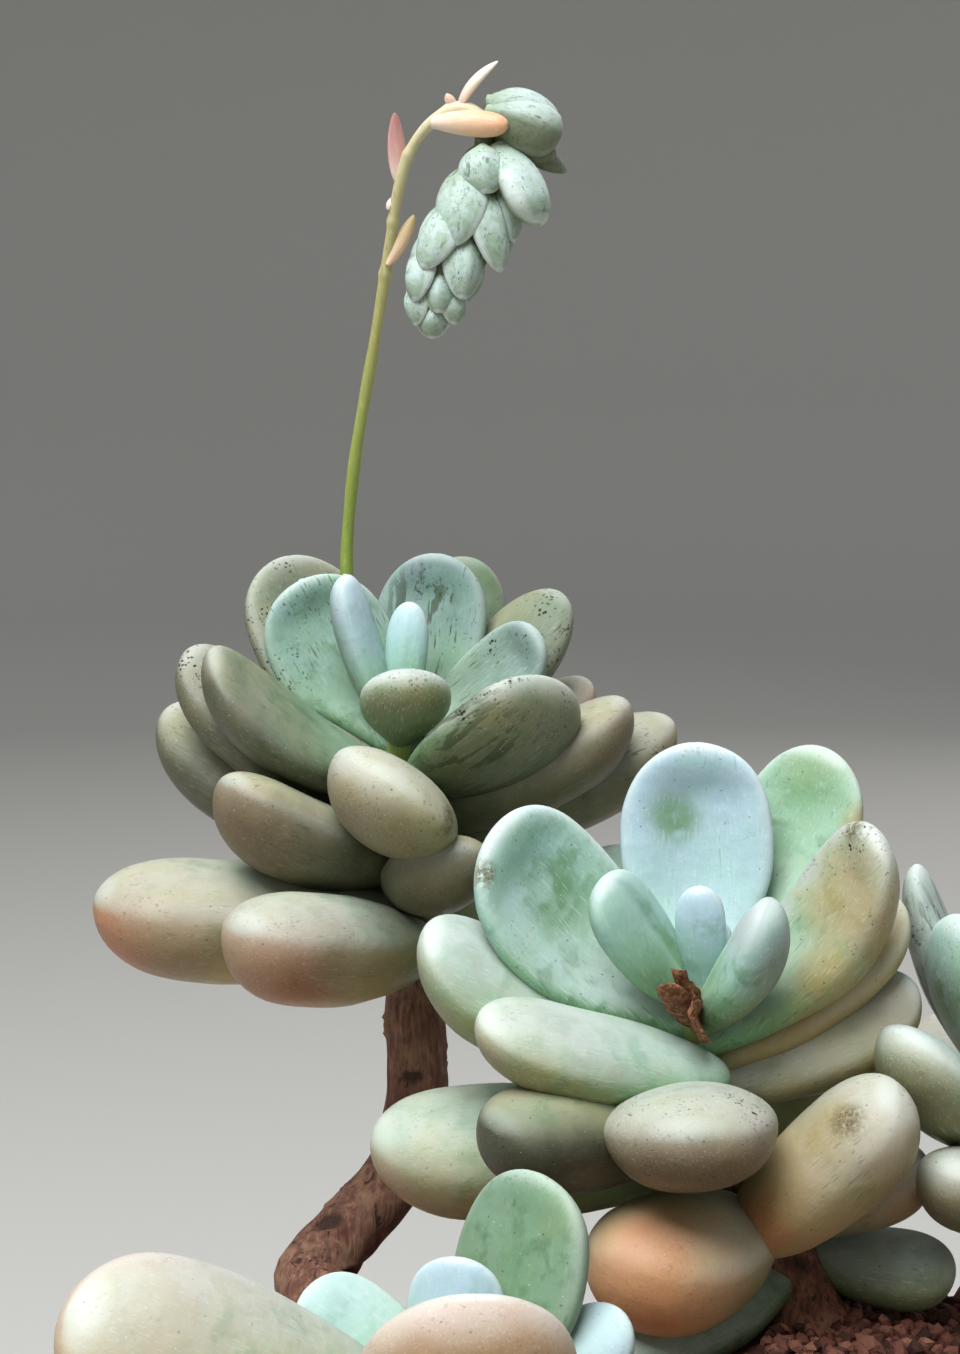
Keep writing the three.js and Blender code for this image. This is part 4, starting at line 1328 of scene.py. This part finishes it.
def rounded(profile, radius):
    """A profile with each of its corners turned into a short bend."""
    out = [profile[0]]
    for before, corner, after in zip(profile, profile[1:], profile[2:]):
        before, corner, after = map(np.array, (before, corner, after))
        back, on = before - corner, after - corner
        cut = min(radius, np.linalg.norm(back) * 0.45, np.linalg.norm(on) * 0.45)
        start = corner + back / np.linalg.norm(back) * cut
        end = corner + on / np.linalg.norm(on) * cut
        for t in np.linspace(0, 1, BEND_STEPS):
            out.append(tuple((1 - t) ** 2 * start + 2 * t * (1 - t) * corner + t**2 * end))
    return out + [profile[-1]]


def filled(profile, longest):
    """A profile with extra points, so that none of its steps is longer than stated."""
    out = [profile[0]]
    for a, b in zip(profile, profile[1:]):
        steps = max(1, math.ceil(math.dist(a, b) / longest))
        out += [tuple(np.array(a) + (np.array(b) - np.array(a)) * i / steps) for i in range(1, steps + 1)]
    return out


BOWL = [
    (0, 0), (64, 0), (86, 66), (89.9, 67.2), (90, 80), (79.5, 80), (58, 8.6), (55, 7), (0, 7),
]
BEND_RADIUS, LONGEST_STEP = 1.8, 2.4
profile = filled(rounded(BOWL, BEND_RADIUS), LONGEST_STEP)
points, faces = turned_skin(profile, BOWL_SIDES)
reach = np.hypot(points[:, 0], points[:, 1])
outside = (reach > 62) & (points[:, 2] > 2) & (points[:, 2] < 78)
wheel = 0.12 * np.sin(points[:, 2] * 2.1 + 0.6 * np.arctan2(points[:, 1], points[:, 0]))
wobble = 0.35 * rough(points, 38, 4)
swell = 1 + outside * (wheel + wobble - 0.25) / np.maximum(reach, 1)
points[:, :2] *= swell[:, None]
bowl = make_piece("clay_bowl", points, faces, CLAY, ("pot",))
print("bowl profile points:", len(profile))

# %% Drain holes
HOLE_RADIUS, HOLE_CIRCLE, HOLES = 5, 34, 3
DRILL_LENGTH = 30
SLIVER = 0.05
for i in range(HOLES):
    angle = 2 * math.pi * i / HOLES + math.pi / 2
    work = bmesh.new()
    circle = HOLE_CIRCLE * MM
    place = Matrix.Translation((circle * math.cos(angle), circle * math.sin(angle), 0))
    bmesh.ops.create_cone(
        work, cap_ends=True, segments=40, radius1=HOLE_RADIUS * MM, radius2=HOLE_RADIUS * MM,
        depth=DRILL_LENGTH * MM, matrix=place,
    )
    drill_mesh = bpy.data.meshes.new("drill")
    work.to_mesh(drill_mesh)
    work.free()
    drill = bpy.data.objects.new("drill", drill_mesh)
    bpy.context.collection.objects.link(drill)
    cut = bowl.modifiers.new("hole", "BOOLEAN")
    cut.object = drill
    cut.operation = "DIFFERENCE"
    bpy.context.view_layer.update()
    drilled = bowl.evaluated_get(bpy.context.evaluated_depsgraph_get())
    cut_mesh = bpy.data.meshes.new_from_object(drilled)
    bowl.modifiers.clear()
    bowl.data = cut_mesh
    bpy.data.objects.remove(drill)

# The cuts leave slivers where they pass through a corner of the skin, so those corners are joined.
work = bmesh.new()
work.from_mesh(bowl.data)
bmesh.ops.remove_doubles(work, verts=work.verts, dist=SLIVER * MM)
bmesh.ops.dissolve_degenerate(work, edges=work.edges, dist=SLIVER * MM)
bmesh.ops.triangulate(work, faces=[face for face in work.faces if len(face.verts) > 4])
bmesh.ops.holes_fill(work, edges=[edge for edge in work.edges if edge.is_boundary], sides=4)
bmesh.ops.recalc_face_normals(work, faces=work.faces)
open_edges = sum(not edge.is_manifold for edge in work.edges)
work.to_mesh(bowl.data)
work.free()
print("bowl faces:", len(bowl.data.polygons), "open edges:", open_edges)

# %% [markdown]
# ## Dried scraps
# At the heart of the middle rosette a dead leaf has shrivelled into red-brown paper. Thin crumpled
# flakes, made as very thin leaves with strong dents, give its torn look.

# %% Dried flakes
def paper_finish():
    """Red-brown dried leaf skin, thin enough to be a little ragged."""
    material = begin("dried_leaf_paper")
    where = in_mm()
    fold = cloud(where, 1.2, 4, 0.7, 0.8)
    paper = ramp(fold, [(0.3, "4a2a1c"), (0.5, "85533a"), (0.7, "b98d66")])
    gloss, relief = 0.7 + 0.2 * fold, bump(fold, 0.5)
    return finish_with(material, {"Base Color": paper, "Roughness": gloss, "Normal": relief}, {"IOR": 1.4})


PAPER = paper_finish()
FLAKES = [
    ((-12.5, 8, 152), (-18.5, -3.5, 161.5), 5.5, 1.1),
    ((-12, 8, 151.5), (-14.5, -4, 157.5), 6.5, 1.2),
    ((-12, 8.5, 153), (-16.5, -2, 164), 3.2, 0.9),
]
for number, (base, tip, width, thick) in enumerate(FLAKES, 1):
    points, faces, _ = leaf_skin(
        base, tip, (-0.4, -0.9, 0.4), width, thick, cup=1.8, pointed=True, seed=200 + number,
        rings=26, sides=22,
    )
    crumple = np.column_stack([rough(points, 2.1, 210 + number + k) for k in range(3)])
    points = points + 0.9 * crumple
    make_piece(f"dried_flake_{number}", points, faces, PAPER)
print("dried flakes:", len(FLAKES))

# %% [markdown]
# ## The studio
# A pale sweep runs up all round like the inside of a shallow dish, so every view has the same
# plain ground. Its wall is low, so that the light soon leaves it. A large soft light above does
# most of the work, as a pale sky does. A weak warm one fills from the front, and another lights
# the back.

# %% Floor and light
SWEEP = [(0, 0), (0.7, 0), (1.9, 0), (2.4, 0.06), (2.8, 0.3), (3.0, 0.8), (3.02, 1.1)]
floor = finish_with(begin("studio_floor"), {}, {"Base Color": colour("bfbdb8"), "Roughness": 0.9})
SWEEP_SIDES = 96
sweep_points, sweep_faces = [(0, 0, 0)], []
for r, z in SWEEP[1:]:
    for j in range(SWEEP_SIDES):
        angle = 2 * math.pi * j / SWEEP_SIDES
        sweep_points.append((r * math.cos(angle), r * math.sin(angle), z))
for j in range(SWEEP_SIDES):
    sweep_faces.append((0, 1 + j, 1 + (j + 1) % SWEEP_SIDES))
    for i in range(len(SWEEP) - 2):
        a, b = 1 + i * SWEEP_SIDES + j, 1 + i * SWEEP_SIDES + (j + 1) % SWEEP_SIDES
        sweep_faces.append((a, a + SWEEP_SIDES, b + SWEEP_SIDES, b))
sweep_mesh = bpy.data.meshes.new("studio_sweep")
sweep_mesh.from_pydata(sweep_points, [], sweep_faces)
sweep_mesh.shade_smooth()
sweep_mesh.materials.append(floor)
sweep = bpy.data.objects.new("studio_sweep", sweep_mesh)
bpy.context.collection.objects.link(sweep)
sweep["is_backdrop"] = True

AIMED_AT = Vector((0, 0, 0.15))
AIR_COLOUR, AIR_STRENGTH = (0.8, 0.82, 0.85, 1), 0.25
LIGHTS = [
    # name, place, size, power, colour
    ("sky_light", (-0.35, -0.5, 1.3), 0.9, 29, (0.95, 0.98, 1.0)),
    ("front_fill", (-0.9, -1.5, 0.75), 1.0, 2.2, (1.0, 0.95, 0.88)),
    ("back_light", (0.9, 1.2, 0.9), 0.9, 6, (1.0, 0.98, 0.95)),
]
for name, place, size, power, tint in LIGHTS:
    light = bpy.data.lights.new(name, "AREA")
    light.size = size
    light.energy = power
    light.color = tint
    lamp = bpy.data.objects.new(name, light)
    lamp.location = place
    lamp.rotation_euler = (AIMED_AT - Vector(place)).to_track_quat("-Z", "Y").to_euler()
    lamp.visible_camera = False
    bpy.context.collection.objects.link(lamp)

world = bpy.data.worlds.new("studio_air")
world.use_nodes = True
air = world.node_tree.nodes["Background"]
air.inputs["Color"].default_value = AIR_COLOUR
air.inputs["Strength"].default_value = AIR_STRENGTH
bpy.context.scene.world = world
bpy.context.scene.view_settings.view_transform = "Standard"
print("lights:", ", ".join(name for name, *_ in LIGHTS))

# %% [markdown]
# ## Sizes
# The boxes of the imported model and of the visual model are both printed, in millimetres.
# The visual model must fill the same box as the imported one.

# %% Print both boxes
boxes = {"cad": [list(corner) for corner in packed_box], "visual": [list(corner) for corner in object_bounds()]}
for name, (low, high) in boxes.items():
    print(name, [round((b - a) / MM, 1) for a, b in zip(low, high)], "mm")
